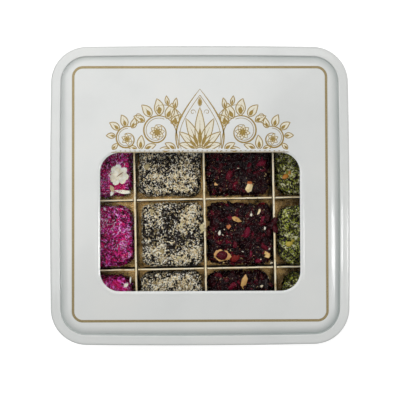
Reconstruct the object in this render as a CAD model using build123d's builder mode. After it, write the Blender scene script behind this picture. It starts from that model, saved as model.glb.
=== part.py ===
from build123d import *
from math import acos, asin, ceil, cos, degrees, radians, sin, sqrt, tan
import os

# A square sweets tin with rounded corners and a lift-off lid that has a clear window.
# Inside, foil card dividers stand on a foil card and part sixteen sweets.
# Millimetres. Z is up, X runs to the right and Y to the back. The origin is at the middle of
# the tin's foot, and the tin stands on Z = 0.

# ---- sheet metal, common to the tin and its lid ----
sheet = 0.3  # tinplate
lid_half = 100.0  # from the tin's middle to the outside of the lid's skirt, halfway along a side
corner_radius = 0.24 * lid_half  # outside of the lid's skirt
side_bow = 0.6  # how far each side bulges between its corners
bend_sag = 0.09  # a bend is made of flats that stay this close to its true curve

# ---- lid ----
lid_top = 44.0  # top of the flat panel above the table
lid_depth = 18.0  # from the panel down to the lowest point of the skirt's curl
lid_curl = 1.8  # outside size of the skirt's rolled edge
band_drop = 0.6  # the rim band lies this far below the panel
band_width = 6.3  # from the skirt to the step down into the groove
shoulder_radius = 1.6
lip_radius = 0.6
groove_depth = 1.5  # below the rim band
groove_lean = 0.45  # how far the step leans outwards over its height
groove_radius = 0.4
ramp_angle = 35.0  # how steeply the panel's shoulder rises from the groove
ramp_radius = 9.5
panel_seat = 4.5  # flat stretch of the carried section that joins the panel

# ---- window ----
window_width = 133.0
window_length = 92.0
window_radius = 13.0
window_y = -17.8  # the window lies towards the front
hem_width = 4.0  # the edge of the opening is folded back under the panel
hem_gap = 0.5
hem_bevel = 0.35
film_thickness = 0.25
film_lap = 3.5  # how far the film reaches under the hem
glue_thickness = 0.15
glue_margin = 0.5  # bare strip of the lap on each side of the glue

# ---- tin ----
lid_play = 0.35  # between the skirt and the tin's wall
seat_gap = 0.3  # between the tin's rolled mouth and the underside of the lid's band
mouth_curl = 2.2  # outside size of the rolled mouth
floor_height = 3.3  # top of the bottom plate above the table
floor_bend = 0.6
floor_seat = 4.5  # flat stretch of the carried section that joins the bottom plate
seam_height = 2.7  # double seam round the foot
seam_bend = 0.3
ply_gap = 0.08  # between the plies of the double seam
hook_clearance = 0.2  # the seam's hooks stop this far from each other's bends
curl_bend = 0.45  # bend radius of a rolled edge, as a share of its middle line's size
curl_end = 0.35  # where a rolled edge ends, as the same share
side_seam_width = 5.0
side_seam_clearance = 0.7  # above the bottom plate and below the rolled mouth

# ---- card insert ----
base_card_thickness = 0.6
mouth_clearance = 0.5  # the card passes the rolled mouth with this to spare
divider_count = 3
divider_height = 26.0
divider_end_gap = 5.0  # on average, from a divider's end to the tin's wall
cells_slack = 8.5  # the row of cells is this much shorter than the tin's inside
divider_corner = 2.5  # rounding of the dividers' upper ends
cross_drop = 0.5  # the cross dividers are this much lower
long_card = 1.2
cross_card = 1.0
long_slot_clearance = 0.3  # each side of a cross divider, in a long divider's slot
cross_slot_clearance = 0.7  # each side of a long divider, in a cross divider's slot
slot_end_gap = 0.6  # between the ends of two slots that meet
insert_x = 3.0  # the insert lies loose in the tin, pushed to the front right
insert_y = -2.3
insert_turn = 0.9

# ---- sweets ----
corner_flats = 2  # each soft upright corner is made of this many flats
# A sweet's sides, as pairs: share of its height, and how far it has drawn in there, as a share
# of a cell.
sweet_levels = [(0, 0.017), (0.07, 0.002), (0.6, 0.006), (0.84, 0.023), (0.95, 0.061), (1, 0.137)]
# Each flavour fills a column, from the left, and its sweets stand in it from the back row to the
# front. A sweet has its width, length and offsets as shares of a cell, and its turn in degrees.
rose_sweets = [
    (0.863, 0.874, 0.013, -0.008, 2.0),
    (0.874, 0.863, 0.006, 0.006, -1.5),
    (0.863, 0.884, 0.013, -0.017, 1.0),
    (0.842, 0.853, -0.006, -0.025, -1.0),
]
sesame_sweets = [
    (0.884, 0.895, -0.008, 0.006, 1.0),
    (0.905, 0.884, 0.006, 0.004, -1.0),
    (0.888, 0.914, 0.027, -0.008, 0.5),
    (0.884, 0.884, 0.0, 0.004, 1.0),
]
barberry_sweets = [
    (0.916, 0.895, 0.004, -0.006, -1.0),
    (0.931, 0.905, 0.0, 0.004, 0.5),
    (0.931, 0.895, 0.008, -0.011, -0.5),
    (0.926, 0.874, -0.004, -0.008, 0.5),
]
pistachio_sweets = [
    (0.853, 0.863, -0.013, 0.006, -1.5),
    (0.853, 0.884, 0.0, -0.004, 1.5),
    (0.842, 0.851, 0.008, -0.044, 0.5),
    (0.8, 0.8, 0.042, -0.004, -2.0),
]
# Whole berries and nuts stand out of a sweet's crown as lumps, and ground nuts lie on it in low
# mounds. Each has its place, length and width as shares of a cell, and its turn in degrees. The
# third row has them as they are here, and every other row a quarter turn on from its neighbour.
lump_sides = 6
lump_root = 0.05  # a lump starts this far below the crown, as a share of a divider's height
berry_lumps = [
    (-0.095, 0.179, 0.169, 0.105, 20),
    (0.179, 0.253, 0.148, 0.095, -30),
    (0.103, 0.013, 0.19, 0.105, 80),
    (-0.274, 0.021, 0.148, 0.105, 60),
    (-0.253, -0.264, 0.169, 0.148, 20),
    (-0.032, -0.264, 0.169, 0.116, -20),
    (0.295, -0.074, 0.169, 0.105, 35),
    (0.253, -0.285, 0.158, 0.105, -10),
    (-0.285, 0.285, 0.148, 0.105, -50),
]
nut_mounds = [
    (0.2, 0.169, 0.359, 0.148, 60),
    (0.137, -0.295, 0.211, 0.148, 10),
    (-0.169, -0.243, 0.19, 0.169, 40),
    (-0.264, 0.264, 0.169, 0.148, 0),
    (-0.148, 0.074, 0.169, 0.105, 45),
    (0.327, -0.169, 0.148, 0.127, 80),
]
# Their steps, from the root up, as pairs: height as a share of a divider's, and draft in degrees.
berry_steps = [(0.094, 15), (0.029, 45)]
mound_steps = [(0.081, 35)]
# name, crown's height as a share of a divider's, corner radius as a share of a cell, sweets,
# lumps, and the lumps' steps
flavours = [
    ("rose_delight", 0.942, 0.168, rose_sweets, [], []),
    ("sesame_delight", 0.948, 0.105, sesame_sweets, nut_mounds, mound_steps),
    ("barberry_delight", 0.92, 0.095, barberry_sweets, berry_lumps, berry_steps),
    ("pistachio_delight", 0.923, 0.189, pistachio_sweets, [], []),
]

# ---- the outline, worked out: shallow arcs along the sides, tangent to the corner arcs ----
side_span = lid_half - corner_radius
side_radius = (side_span**2 + side_bow**2) / (2 * side_bow)
centre_gap = side_radius - corner_radius
side_shift = side_radius - lid_half
corner_place = (sqrt(2 * centre_gap**2 - side_shift**2) - side_shift) / 2
side_angle = degrees(asin(corner_place / centre_gap))
side_centre = Vector(-side_shift, 0, 0)
corner_centre = Vector(corner_place, corner_place, 0)

# ---- levels and places that several pieces share ----
wall_half = lid_half - sheet - lid_play - sheet / 2  # middle line of the tin's wall
wall_top = lid_top - band_drop - sheet - seat_gap
mouth_half = wall_half + sheet / 2 - mouth_curl
tin_inside = wall_half - sheet / 2
ply = sheet + ply_gap
cover_foot = sheet / 2  # middle lines of the double seam's plies
hook_foot = cover_foot + ply
cover_top = seam_height - sheet / 2
card_top = floor_height + base_card_thickness
divider_length = 2 * (tin_inside - divider_end_gap)
cell_pitch = (2 * tin_inside - cells_slack) / (divider_count + 1)
hem_bottom = lid_top - 2 * sheet - hem_gap
film_top = hem_bottom - glue_thickness
insert_plane = Plane(
    origin=(insert_x, insert_y, card_top), x_dir=Vector(1, 0, 0).rotate(Axis.Z, insert_turn)
)

os.makedirs("parts", exist_ok=True)


def write(piece, name):
    """Labels a finished piece and writes it to its own file."""
    piece.label = name
    export_step(piece, f"parts/{name}.step")


def outline(half):
    """The bowed square face, parallel to the lid's outside, whose sides bulge as far as half."""
    inset = lid_half - half
    with BuildSketch() as face:
        with BuildLine():
            for turn in (0, 90, 180, 270):
                side = side_centre.rotate(Axis.Z, turn)
                corner = corner_centre.rotate(Axis.Z, turn)
                CenterArc(side, side_radius - inset, turn - side_angle, 2 * side_angle)
                CenterArc(corner, corner_radius - inset, turn + side_angle, 90 - 2 * side_angle)
        make_face()
    return face.sketch


def sheet_section(points, radii):
    """A bent strip of tinplate seen on edge, from the corners of its middle line."""
    with BuildSketch() as section:
        with BuildLine():
            middle = FilletPolyline(*points, radius=radii, mode=Mode.PRIVATE)
            stops = [middle @ 0]
            for edge in middle.order_edges():
                flats = 1
                if edge.geom_type == GeomType.CIRCLE:
                    flat_turn = 2 * acos(1 - bend_sag / edge.radius)
                    flats = ceil(edge.length / edge.radius / flat_turn)
                stops += [edge @ (step / flats) for step in range(1, flats + 1)]
            # both surfaces of the strip, half a sheet away along the mitre at each stop
            runs = [(after - before).normalized() for before, after in zip(stops, stops[1:])]
            across = [run.rotate(Axis.Z, 90) for run in runs]
            mitres = [
                (before + after) * (sheet / 2 / (1 + before.dot(after)))
                for before, after in zip(across[:1] + across, across + across[-1:])
            ]
            left = [stop + mitre for stop, mitre in zip(stops, mitres)]
            right = [stop - mitre for stop, mitre in zip(stops, mitres)]
            Polyline(*left, *reversed(right), close=True)
        make_face()
    return section.sketch


def arc_plane(centre, radius, angle):
    """An upright plane across one arc of the outline, where x is measured as at mid-side."""
    outwards = Vector(1, 0, 0).rotate(Axis.Z, angle)
    return Plane(
        origin=centre + outwards * (radius - lid_half),
        x_dir=outwards,
        z_dir=Vector(0, -1, 0).rotate(Axis.Z, angle),
    )


def carried_round(section):
    """A section, drawn at the middle of the right side, carried once round the outline."""
    arcs = [
        (side_centre, side_radius, -side_angle, 2 * side_angle),
        (corner_centre, corner_radius, side_angle, 90 - 2 * side_angle),
    ]
    with BuildPart() as quarter:
        for centre, radius, start, turn in arcs:
            with BuildSketch(arc_plane(centre, radius, start)):
                add(section)
            revolve(axis=Axis(centre, (0, 0, 1)), revolution_arc=turn)
    with BuildPart() as ring:
        with PolarLocations(0, 4):
            add(quarter.part)
    return ring.part


def rolled_edge(x, level, across, up):
    """The middle line of a rolled edge that leaves a wall at x and turns three times."""
    return [
        (x, level),
        (x + across, level),
        (x + across, level + up),
        (x + curl_end * across, level + up),
    ]


def window_face(margin):
    """The window's outline, grown by a margin."""
    with BuildSketch() as face:
        with Locations((0, window_y)):
            RectangleRounded(
                window_width + 2 * margin, window_length + 2 * margin, window_radius + margin
            )
    return face.sketch


# ---- lid: rolled edge, skirt, rim band, groove, ramp, panel and hemmed window ----
skirt_x = lid_half - sheet / 2
skirt_foot = lid_top - lid_depth + sheet / 2
lid_roll = lid_curl - sheet
panel_line = lid_top - sheet / 2
band_line = panel_line - band_drop
step_x = skirt_x - band_width
groove_x = step_x - groove_lean
groove_line = band_line - groove_depth
ramp_x = groove_x - (panel_line - groove_line) / tan(radians(ramp_angle))
panel_half = ramp_x - panel_seat
lid_corners = [
    *reversed(rolled_edge(skirt_x, skirt_foot, lid_roll, lid_roll)),
    (skirt_x, band_line),
    (step_x, band_line),
    (groove_x, groove_line),
    (ramp_x, panel_line),
    (panel_half, panel_line),
]
lid_bends = [curl_bend * lid_roll] * 3 + [shoulder_radius, lip_radius, groove_radius, ramp_radius]

with BuildPart() as lid_shell:
    add(carried_round(sheet_section(lid_corners, lid_bends)))
    with BuildSketch(Plane.XY.offset(lid_top)):
        add(outline(panel_half))
    extrude(amount=-sheet)
    with BuildSketch(Plane.XY.offset(hem_bottom)):
        add(window_face(hem_width))
    extrude(amount=lid_top - hem_bottom)
    with BuildSketch(Plane.XY.offset(hem_bottom)):
        add(window_face(0))
    extrude(amount=lid_top - hem_bottom, mode=Mode.SUBTRACT)
    chamfer(lid_shell.edges(Select.LAST).filter_by(Axis.Z, reverse=True), hem_bevel)
    # open gap between the two plies of the hem
    with BuildSketch(Plane.XY.offset(lid_top - sheet)):
        add(window_face(hem_width + sheet))
        add(window_face(sheet), mode=Mode.SUBTRACT)
    extrude(amount=-hem_gap, mode=Mode.SUBTRACT)
write(lid_shell.part, "lid_shell")

# ---- window film and the glue that holds it under the hem ----
with BuildPart() as window_film:
    with BuildSketch(Plane.XY.offset(film_top)):
        add(window_face(film_lap))
    extrude(amount=-film_thickness)
write(window_film.part, "window_film")

with BuildPart() as window_adhesive:
    with BuildSketch(Plane.XY.offset(film_top)):
        add(window_face(film_lap - glue_margin))
        add(window_face(glue_margin), mode=Mode.SUBTRACT)
    extrude(amount=glue_thickness)
write(window_adhesive.part, "window_adhesive")

# ---- tin wall: seam hook, wall, rolled mouth and side seam ----
mouth_line = wall_top - sheet / 2
mouth_roll = mouth_curl - sheet
hook_top = cover_top - sheet - hook_clearance
wall_corners = [
    (wall_half + 2 * ply, hook_top),
    (wall_half + 2 * ply, hook_foot),
    (wall_half, hook_foot),
    *rolled_edge(wall_half, mouth_line, -mouth_roll, -mouth_roll),
]
wall_bends = [seam_bend] * 2 + [curl_bend * mouth_roll] * 3

with BuildPart() as tin_wall:
    add(carried_round(sheet_section(wall_corners, wall_bends)))
    side_seam_foot = floor_height + side_seam_clearance
    side_seam_top = wall_top - mouth_curl - side_seam_clearance
    with BuildSketch(Plane.XY.offset(side_seam_foot)):
        with Locations((0, wall_half)):
            Rectangle(side_seam_width, 3 * sheet)
        add(outline(wall_half), mode=Mode.INTERSECT)
    extrude(amount=side_seam_top - side_seam_foot)
write(tin_wall.part, "tin_wall")

# ---- tin bottom: plate, sunk edge and the cover hook that wraps the wall's ----
plate_line = floor_height - sheet / 2
plate_half = wall_half - ply - floor_seat
bottom_corners = [
    (plate_half, plate_line),
    (wall_half - ply, plate_line),
    (wall_half - ply, cover_foot),
    (wall_half + 3 * ply, cover_foot),
    (wall_half + 3 * ply, cover_top),
    (wall_half + ply, cover_top),
    (wall_half + ply, hook_foot + sheet + hook_clearance),
]
bottom_bends = [floor_bend] + [seam_bend] * 4

with BuildPart() as tin_bottom:
    add(carried_round(sheet_section(bottom_corners, bottom_bends)))
    with BuildSketch(Plane.XY.offset(floor_height)):
        add(outline(plate_half))
    extrude(amount=-sheet)
write(tin_bottom.part, "tin_bottom")

# ---- card on the tin's bottom plate ----
with BuildPart() as base_card:
    with BuildSketch(Plane.XY.offset(floor_height)):
        add(outline(mouth_half - mouth_clearance))
    extrude(amount=base_card_thickness)
write(base_card.part, "base_card")

# ---- dividers: half-lapped card strips that stand on the card ----
divider_places = [(index - (divider_count - 1) / 2) * cell_pitch for index in range(divider_count)]
cross_height = divider_height - cross_drop
long_slot_top = (cross_height + slot_end_gap) / 2
cross_slot_foot = (cross_height - slot_end_gap) / 2


def divider(plane, height, card, slot_foot, slot_top, slot_width):
    """A strip that stands on its plane's x axis, slotted where it meets the crossing strips."""
    with BuildPart() as strip:
        with BuildSketch(plane):
            with BuildLine():
                FilletPolyline(
                    (-divider_length / 2, 0),
                    (-divider_length / 2, height),
                    (divider_length / 2, height),
                    (divider_length / 2, 0),
                    radius=divider_corner,
                )
                Line((divider_length / 2, 0), (-divider_length / 2, 0))
            make_face()
            with Locations([(place, (slot_foot + slot_top) / 2) for place in divider_places]):
                Rectangle(slot_width, slot_top - slot_foot, mode=Mode.SUBTRACT)
        extrude(amount=card / 2, both=True)
    return strip.part


for number, place in enumerate(divider_places, 1):
    long_plane = Plane(
        origin=insert_plane.from_local_coords((place, 0, 0)),
        x_dir=insert_plane.y_dir,
        z_dir=insert_plane.x_dir,
    )
    long_slot = cross_card + 2 * long_slot_clearance
    long_divider = divider(long_plane, divider_height, long_card, 0, long_slot_top, long_slot)
    write(long_divider, f"long_divider_{number}")
    cross_plane = Plane(
        origin=insert_plane.from_local_coords((0, -place, 0)),
        x_dir=insert_plane.x_dir,
        z_dir=-insert_plane.y_dir,
    )
    cross_slot = long_card + 2 * cross_slot_clearance
    cross_divider = divider(
        cross_plane, cross_height, cross_card, cross_slot_foot, cross_height, cross_slot
    )
    write(cross_divider, f"cross_divider_{number}")


# ---- sweets ----
def sweet_ring(width, length, radius):
    """The points of a rectangle whose corners are rounded by flats."""
    points = []
    for corner, (side_x, side_y) in enumerate([(1, 1), (-1, 1), (-1, -1), (1, -1)]):
        for step in range(corner_flats + 1):
            angle = radians(90 * (corner + step / corner_flats))
            x = side_x * (width / 2 - radius) + radius * cos(angle)
            y = side_y * (length / 2 - radius) + radius * sin(angle)
            points.append((x, y))
    return points


def sweet(base, width, length, height, radius):
    """A soft block with drawn-in sides and a low crown, standing on its base plane."""
    with BuildPart() as block:
        for share, draw in sweet_levels:
            inset = draw * cell_pitch
            with BuildSketch(base.offset(share * height)):
                with BuildLine():
                    ring = sweet_ring(width - 2 * inset, length - 2 * inset, radius)
                    Polyline(*ring, close=True)
                make_face()
        loft(ruled=True)
    return block.part


def lump(seat, length, width, steps):
    """A flat-sided lump that rises from its seat in steps, each drawn in by its draft."""
    corners = [radians(360 * side / lump_sides) for side in range(lump_sides)]
    with BuildSketch(seat) as foot:
        with BuildLine():
            Polyline(*[(length / 2 * cos(a), width / 2 * sin(a)) for a in corners], close=True)
        make_face()
    with BuildPart() as rise:
        face = foot.sketch.face()
        for share, draft in steps:
            extrude(face, amount=share * divider_height, taper=draft)
            face = rise.faces().sort_by(Axis.Z)[-1]
    return rise.part


for column, (name, crown, radius, sweets, lumps, steps) in enumerate(flavours):
    for row, (width, length, offset_x, offset_y, turn) in enumerate(sweets):
        place = (
            (column - divider_count / 2 + offset_x) * cell_pitch,
            (divider_count / 2 - row + offset_y) * cell_pitch,
            0,
        )
        base = Plane(
            origin=insert_plane.from_local_coords(place),
            x_dir=insert_plane.x_dir.rotate(Axis.Z, turn),
        )
        root = base.offset((crown - lump_root) * divider_height)
        root = Plane(origin=root.origin, x_dir=root.x_dir.rotate(Axis.Z, 90 * (row - 2)))
        with BuildPart() as piece:
            add(
                sweet(
                    base,
                    width * cell_pitch,
                    length * cell_pitch,
                    crown * divider_height,
                    radius * cell_pitch,
                )
            )
            for x, y, lump_length, lump_width, lump_turn in lumps:
                seat = Plane(
                    origin=root.from_local_coords((x * cell_pitch, y * cell_pitch, 0)),
                    x_dir=root.x_dir.rotate(Axis.Z, lump_turn),
                )
                add(lump(seat, lump_length * cell_pitch, lump_width * cell_pitch, steps))
        write(piece.part, f"{name}_{row + 1}")
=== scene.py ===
import math
import bpy
import numpy as np
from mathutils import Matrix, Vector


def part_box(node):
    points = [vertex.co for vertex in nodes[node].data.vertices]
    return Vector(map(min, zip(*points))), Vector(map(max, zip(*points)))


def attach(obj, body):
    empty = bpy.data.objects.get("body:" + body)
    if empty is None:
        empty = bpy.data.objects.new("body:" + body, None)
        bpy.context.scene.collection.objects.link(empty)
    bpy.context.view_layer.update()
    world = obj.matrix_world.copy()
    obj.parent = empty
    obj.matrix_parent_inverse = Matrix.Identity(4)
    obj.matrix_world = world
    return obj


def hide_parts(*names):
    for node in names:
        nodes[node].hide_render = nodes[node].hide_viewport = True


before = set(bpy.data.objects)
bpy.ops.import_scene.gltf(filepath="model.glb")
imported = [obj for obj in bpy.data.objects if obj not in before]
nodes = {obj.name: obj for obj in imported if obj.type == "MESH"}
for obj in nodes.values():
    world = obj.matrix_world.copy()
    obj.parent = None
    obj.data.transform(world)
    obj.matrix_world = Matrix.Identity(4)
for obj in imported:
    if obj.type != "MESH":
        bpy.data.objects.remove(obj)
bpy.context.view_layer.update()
millimetre = 0.001
print("frame loaded:", len(nodes), "nodes")

# the camera looks down from over the tin, a little to the left and front of its middle
cameraPlace = {
    "location": (-5.4, -14.9, 564.0),  # millimetres
    "turn": (1.27, -0.58, -0.16),  # degrees from straight down
    "lens": 70.4,
    "sensor": 36.0,
}
cameraData = bpy.data.cameras.new("camera_over_lid")
cameraData.lens = cameraPlace["lens"]
cameraData.sensor_width = cameraPlace["sensor"]
camera = bpy.data.objects.new("camera_over_lid", cameraData)
camera.location = [value * millimetre for value in cameraPlace["location"]]
camera.rotation_euler = [math.radians(value) for value in cameraPlace["turn"]]
bpy.context.scene.collection.objects.link(camera)
bpy.context.scene.camera = camera
bpy.context.scene.view_settings.view_transform = "Standard"


def linear(hexColour):
    # sRGB hex to linear light by the standard curve
    parts = np.array([int(hexColour[i : i + 2], 16) for i in (0, 2, 4)]) / 255
    light = np.where(parts <= 0.04045, parts / 12.92, ((parts + 0.055) / 1.055) ** 2.4)
    return (*light.tolist(), 1.0)


def newMaterial(name):
    # an empty material, and the Object coordinates that its patterns follow
    made = bpy.data.materials.new(name)
    made.use_nodes = True
    made.node_tree.nodes.clear()
    return made, addNode(made, "TexCoord").outputs["Object"]


def addNode(made, kind, settings=None):
    # one node: lower-case settings are its properties, and the others its sockets, each with its
    # value, the socket that it is linked to or a node whose first output it is linked to;
    # "stops" fills a colour ramp with (place, hex colour) pairs
    node = made.node_tree.nodes.new("ShaderNode" + kind)
    for name, value in (settings or {}).items():
        if name == "stops":
            ramp = node.color_ramp
            while len(ramp.elements) < len(value):
                ramp.elements.new(0.5)
            for element, (place, colour) in zip(ramp.elements, value):
                element.position = place
                element.color = linear(colour)
        elif isinstance(value, bpy.types.Node):
            made.node_tree.links.new(value.outputs[0], node.inputs[name])
        elif isinstance(value, bpy.types.NodeSocket):
            made.node_tree.links.new(value, node.inputs[name])
        elif isinstance(name, str) and name[0].islower():
            setattr(node, name, value)
        else:
            node.inputs[name].default_value = value
    return node


def newPiece(name, points, faces, materials, body, slot, smooth=60, tones=None, choice=None):
    # points in millimetres, faces as arrays of corner numbers, one array per corner count;
    # smooth is the angle in degrees above which an edge stays sharp
    mesh = bpy.data.meshes.new(name)
    points = np.asarray(points, np.float64) * millimetre
    loops = np.concatenate([part.ravel() for part in faces]).astype(np.int32)
    corners = np.concatenate([np.full(len(part), part.shape[1]) for part in faces])
    mesh.vertices.add(len(points))
    mesh.vertices.foreach_set("co", points.astype(np.float32).ravel())
    mesh.loops.add(len(loops))
    mesh.loops.foreach_set("vertex_index", loops)
    mesh.polygons.add(len(corners))
    starts = np.concatenate([[0], np.cumsum(corners)[:-1]]).astype(np.int32)
    mesh.polygons.foreach_set("loop_start", starts)
    if choice is not None:
        mesh.polygons.foreach_set("material_index", np.asarray(choice, np.int32))
    mesh.update(calc_edges=True)
    if tones is not None:
        toneData = mesh.attributes.new("tone", "FLOAT", "POINT").data
        toneData.foreach_set("value", np.asarray(tones, np.float32))
    if smooth:
        mesh.polygons.foreach_set("use_smooth", np.ones(len(corners), bool))
        mesh.set_sharp_from_angle(angle=math.radians(smooth))
    for made in materials:
        mesh.materials.append(made)
    piece = bpy.data.objects.new(name, mesh)
    bpy.context.scene.collection.objects.link(piece)
    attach(piece, body)
    return piece


def joined(parts):
    # several (points, faces) pairs as one, with the corner numbers moved on
    points = np.vstack([part[0] for part in parts])
    moved, start = {}, 0
    for part in parts:
        for group in part[1]:
            moved.setdefault(group.shape[1], []).append(group + start)
        start += len(part[0])
    return points, [np.vstack(groups) for groups in moved.values()]


def unit(vectors):
    # each vector divided by its own length
    return vectors / np.linalg.norm(vectors, axis=-1, keepdims=True)


def ringFaces(rows, columns):
    # quads between neighbouring rings of points, each ring closed on itself
    row, column = np.meshgrid(np.arange(rows - 1), np.arange(columns), indexing="ij")
    here, beside = row * columns + column, row * columns + (column + 1) % columns
    return np.stack([here, beside, beside + columns, here + columns], -1).reshape(-1, 4)


# the lid in millimetres, from its rolled edge to the hem round its window
lidShape = {
    "half": 100.0,
    "cornerRadius": 24.0,
    "sideBow": 0.6,
    "sheet": 0.3,
    "top": 44.0,
    "depth": 18.0,
    "curl": 1.8,
    "bandDrop": 0.6,
    "bandWidth": 6.3,
    "bandCrest": 0.15,  # the band rises a little towards its inner lip
    "crestWidth": 1.6,
    "shoulderRadius": 1.6,
    "crestRadius": 4.0,
    "lipRadius": 0.5,
    "grooveDepth": 1.5,
    "grooveLean": 0.45,
    "grooveRadius": 0.4,
    "rampAngle": 35.0,
    "rampRadius": 9.5,
    "panelSeat": 4.5,
    "windowWidth": 133.0,
    "windowLength": 92.0,
    "windowRadius": 13.0,
    "windowY": -17.8,
    "hemWidth": 4.0,
    "hemGap": 0.5,
    "hemCrest": 0.1,  # the panel bows up by this over the fold
    "hemCrestPlace": 1.9,  # from the window's edge
    "hemCrestReach": 0.7,
    "hemRoll": 0.5,  # and rolls down by this at the edge
    "hemRollWidth": 1.4,
    "hemLap": 2.0,  # flat panel outside the hem
}
sideSteps, cornerSteps = 16, 20  # points along each side and round each corner
ringCount = 4 * (sideSteps + cornerSteps)
curlBend, curlEnd = 0.49, 0.2  # a roll's bend and end as shares of its size: nearly round

span = lidShape["half"] - lidShape["cornerRadius"]
sideRadius = (span**2 + lidShape["sideBow"] ** 2) / (2 * lidShape["sideBow"])
centreGap = sideRadius - lidShape["cornerRadius"]
sideShift = sideRadius - lidShape["half"]
cornerPlace = (math.sqrt(2 * centreGap**2 - sideShift**2) - sideShift) / 2
sideAngle = math.asin(cornerPlace / centreGap)


def bowedRing(inset):
    # shallow side arcs tangent to corner arcs, all drawn in by inset:
    # each point is its arc's centre plus the arc's radius times (cos a, sin a)
    side = np.linspace(-sideAngle, sideAngle, sideSteps, endpoint=False)
    corner = np.linspace(sideAngle, math.pi / 2 - sideAngle, cornerSteps, endpoint=False)
    sidePart = np.stack([np.cos(side), np.sin(side)], -1) * (sideRadius - inset)
    cornerPart = np.stack([np.cos(corner), np.sin(corner)], -1)
    cornerPart = cornerPart * (lidShape["cornerRadius"] - inset) + cornerPlace
    quarter = np.vstack([sidePart - [sideShift, 0], cornerPart])
    turns = np.arange(4) * math.pi / 2
    across = np.stack([np.cos(turns), np.sin(turns)], -1)
    along = np.stack([-np.sin(turns), np.cos(turns)], -1)
    ring = quarter[None, :, :1] * across[:, None] + quarter[None, :, 1:] * along[:, None]
    return ring.reshape(-1, 2)


def bowedRings(line):
    # one ring for each point of a section, drawn in so that it stands as far out as the point
    return [bowedRing(lidShape["half"] - place) for place in line[:, 0]]


def roundedRing(width, length, radius, middle=(0.0, 0.0), sides=sideSteps, corners=cornerSteps):
    # a rectangle with corner arcs, its points numbered like the bowed ring's
    step = np.linspace(-1, 1, sides, endpoint=False)[:, None]
    angle = np.linspace(0, math.pi / 2, corners, endpoint=False)[:, None]
    parts = []
    for quarter in range(4):
        turn = quarter * math.pi / 2
        across = np.array([[round(math.cos(turn)), round(math.sin(turn))]])
        along = np.array([[-across[0, 1], across[0, 0]]])
        reach, run = (width / 2, length / 2) if quarter % 2 == 0 else (length / 2, width / 2)
        parts.append(across * reach + along * step * (run - radius))
        centre = across * (reach - radius) + along * (run - radius)
        parts.append(centre + radius * (np.cos(angle) * across + np.sin(angle) * along))
    return np.vstack(parts) + np.asarray(middle)


def roundedLine(corners, radii, turnStep):
    # a line of straight runs whose corners are arcs: each arc leaves its run at
    # radius * tan(half the turn) from the corner
    corners = [np.asarray(corner, float) for corner in corners]
    path = [corners[0]]
    for before, corner, after, radius in zip(corners, corners[1:], corners[2:], radii):
        toward, away = unit(corner - before), unit(after - corner)
        turn = math.atan2(toward[0] * away[1] - toward[1] * away[0], toward @ away)
        start = corner - toward * radius * math.tan(abs(turn) / 2)
        side = np.array([-toward[1], toward[0]]) * math.copysign(1, turn)
        centre = start + side * radius
        count = max(2, math.ceil(abs(math.degrees(turn)) / turnStep))
        angles = np.linspace(0, turn, count + 1)
        x, y = start - centre
        cosine, sine = np.cos(angles), np.sin(angles)
        path.append(centre + np.stack([x * cosine - y * sine, x * sine + y * cosine], -1))
    path.append(corners[-1])
    return np.vstack(path)


def liftedRings(rings, heights):
    # rings of plane points, each put at its own height
    rings = np.asarray(rings)
    tall = np.broadcast_to(np.asarray(heights, float)[:, None, None], (*rings.shape[:2], 1))
    return np.concatenate([rings, tall], -1).reshape(-1, 3)


def stovedEnamel():
    # tinplate, roller coated with white enamel and stoved: glossy, slightly cloudy, with an
    # orange peel about 1.5 mm across and faint handling marks in the gloss; painted shade and
    # painted dark reflection grey it where the mesh's tone says so, in the groove and at the shoulder
    made, place = newMaterial("stoved_white_enamel_on_tinplate")
    peel = addNode(made, "TexNoise", {"Scale": 1 / 0.0015, "Detail": 1.0, "Vector": place})
    cloud = addNode(made, "TexNoise", {"Scale": 1 / 0.04, "Detail": 4.0, "Vector": place})
    stops = [(0.3, "dbdddb"), (0.5, "e0e2e0"), (0.7, "e3e4e1")]
    tint = addNode(made, "ValToRGB", {"stops": stops, "Fac": cloud})
    marks = addNode(made, "TexNoise", {"Scale": 1 / 0.009, "Detail": 5.0, "Vector": place})
    spread = {"From Min": 0.35, "From Max": 0.75, "To Min": 0.16, "To Max": 0.27}
    gloss = addNode(made, "MapRange", {**spread, "Value": marks})
    bump = addNode(made, "Bump", {"Strength": 0.6, "Distance": 0.000012, "Height": peel})
    # the tone darkens the enamel towards b9c1c0: painted shade and painted dark reflection
    dust = addNode(made, "Attribute", {"attribute_name": "tone"}).outputs["Fac"]
    mix = {"blend_type": "MULTIPLY", "Color2": linear("b9c1c0"), "Fac": dust, "Color1": tint}
    look = {"IOR": 1.5, "Coat Weight": 0.35, "Coat Roughness": 0.06, "Normal": bump}
    look |= {"Base Color": addNode(made, "MixRGB", mix), "Roughness": gloss}
    shader = addNode(made, "BsdfPrincipled", look)
    addNode(made, "OutputMaterial", {"Surface": shader})
    return made


def goldLacquer():
    # the tin's inside: bright tinplate under a clear gold food lacquer, with the rolling
    # grain of the steel, 0.4 mm apart and drawn coarser than real, showing through
    made, place = newMaterial("gold_lacquered_tinplate")
    grain = addNode(made, "Mapping", {"Scale": (2500.0, 60.0, 60.0), "Vector": place})
    streak = addNode(made, "TexNoise", {"Scale": 1.0, "Detail": 3.0, "Vector": grain})
    tint = addNode(made, "ValToRGB", {"stops": [(0.3, "b99a5c"), (0.7, "cdb074")], "Fac": streak})
    gloss = addNode(made, "MapRange", {"To Min": 0.24, "To Max": 0.38, "Value": streak})
    look = {"Metallic": 1.0, "Base Color": tint, "Roughness": gloss}
    shader = addNode(made, "BsdfPrincipled", look)
    addNode(made, "OutputMaterial", {"Surface": shader})
    return made


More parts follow.
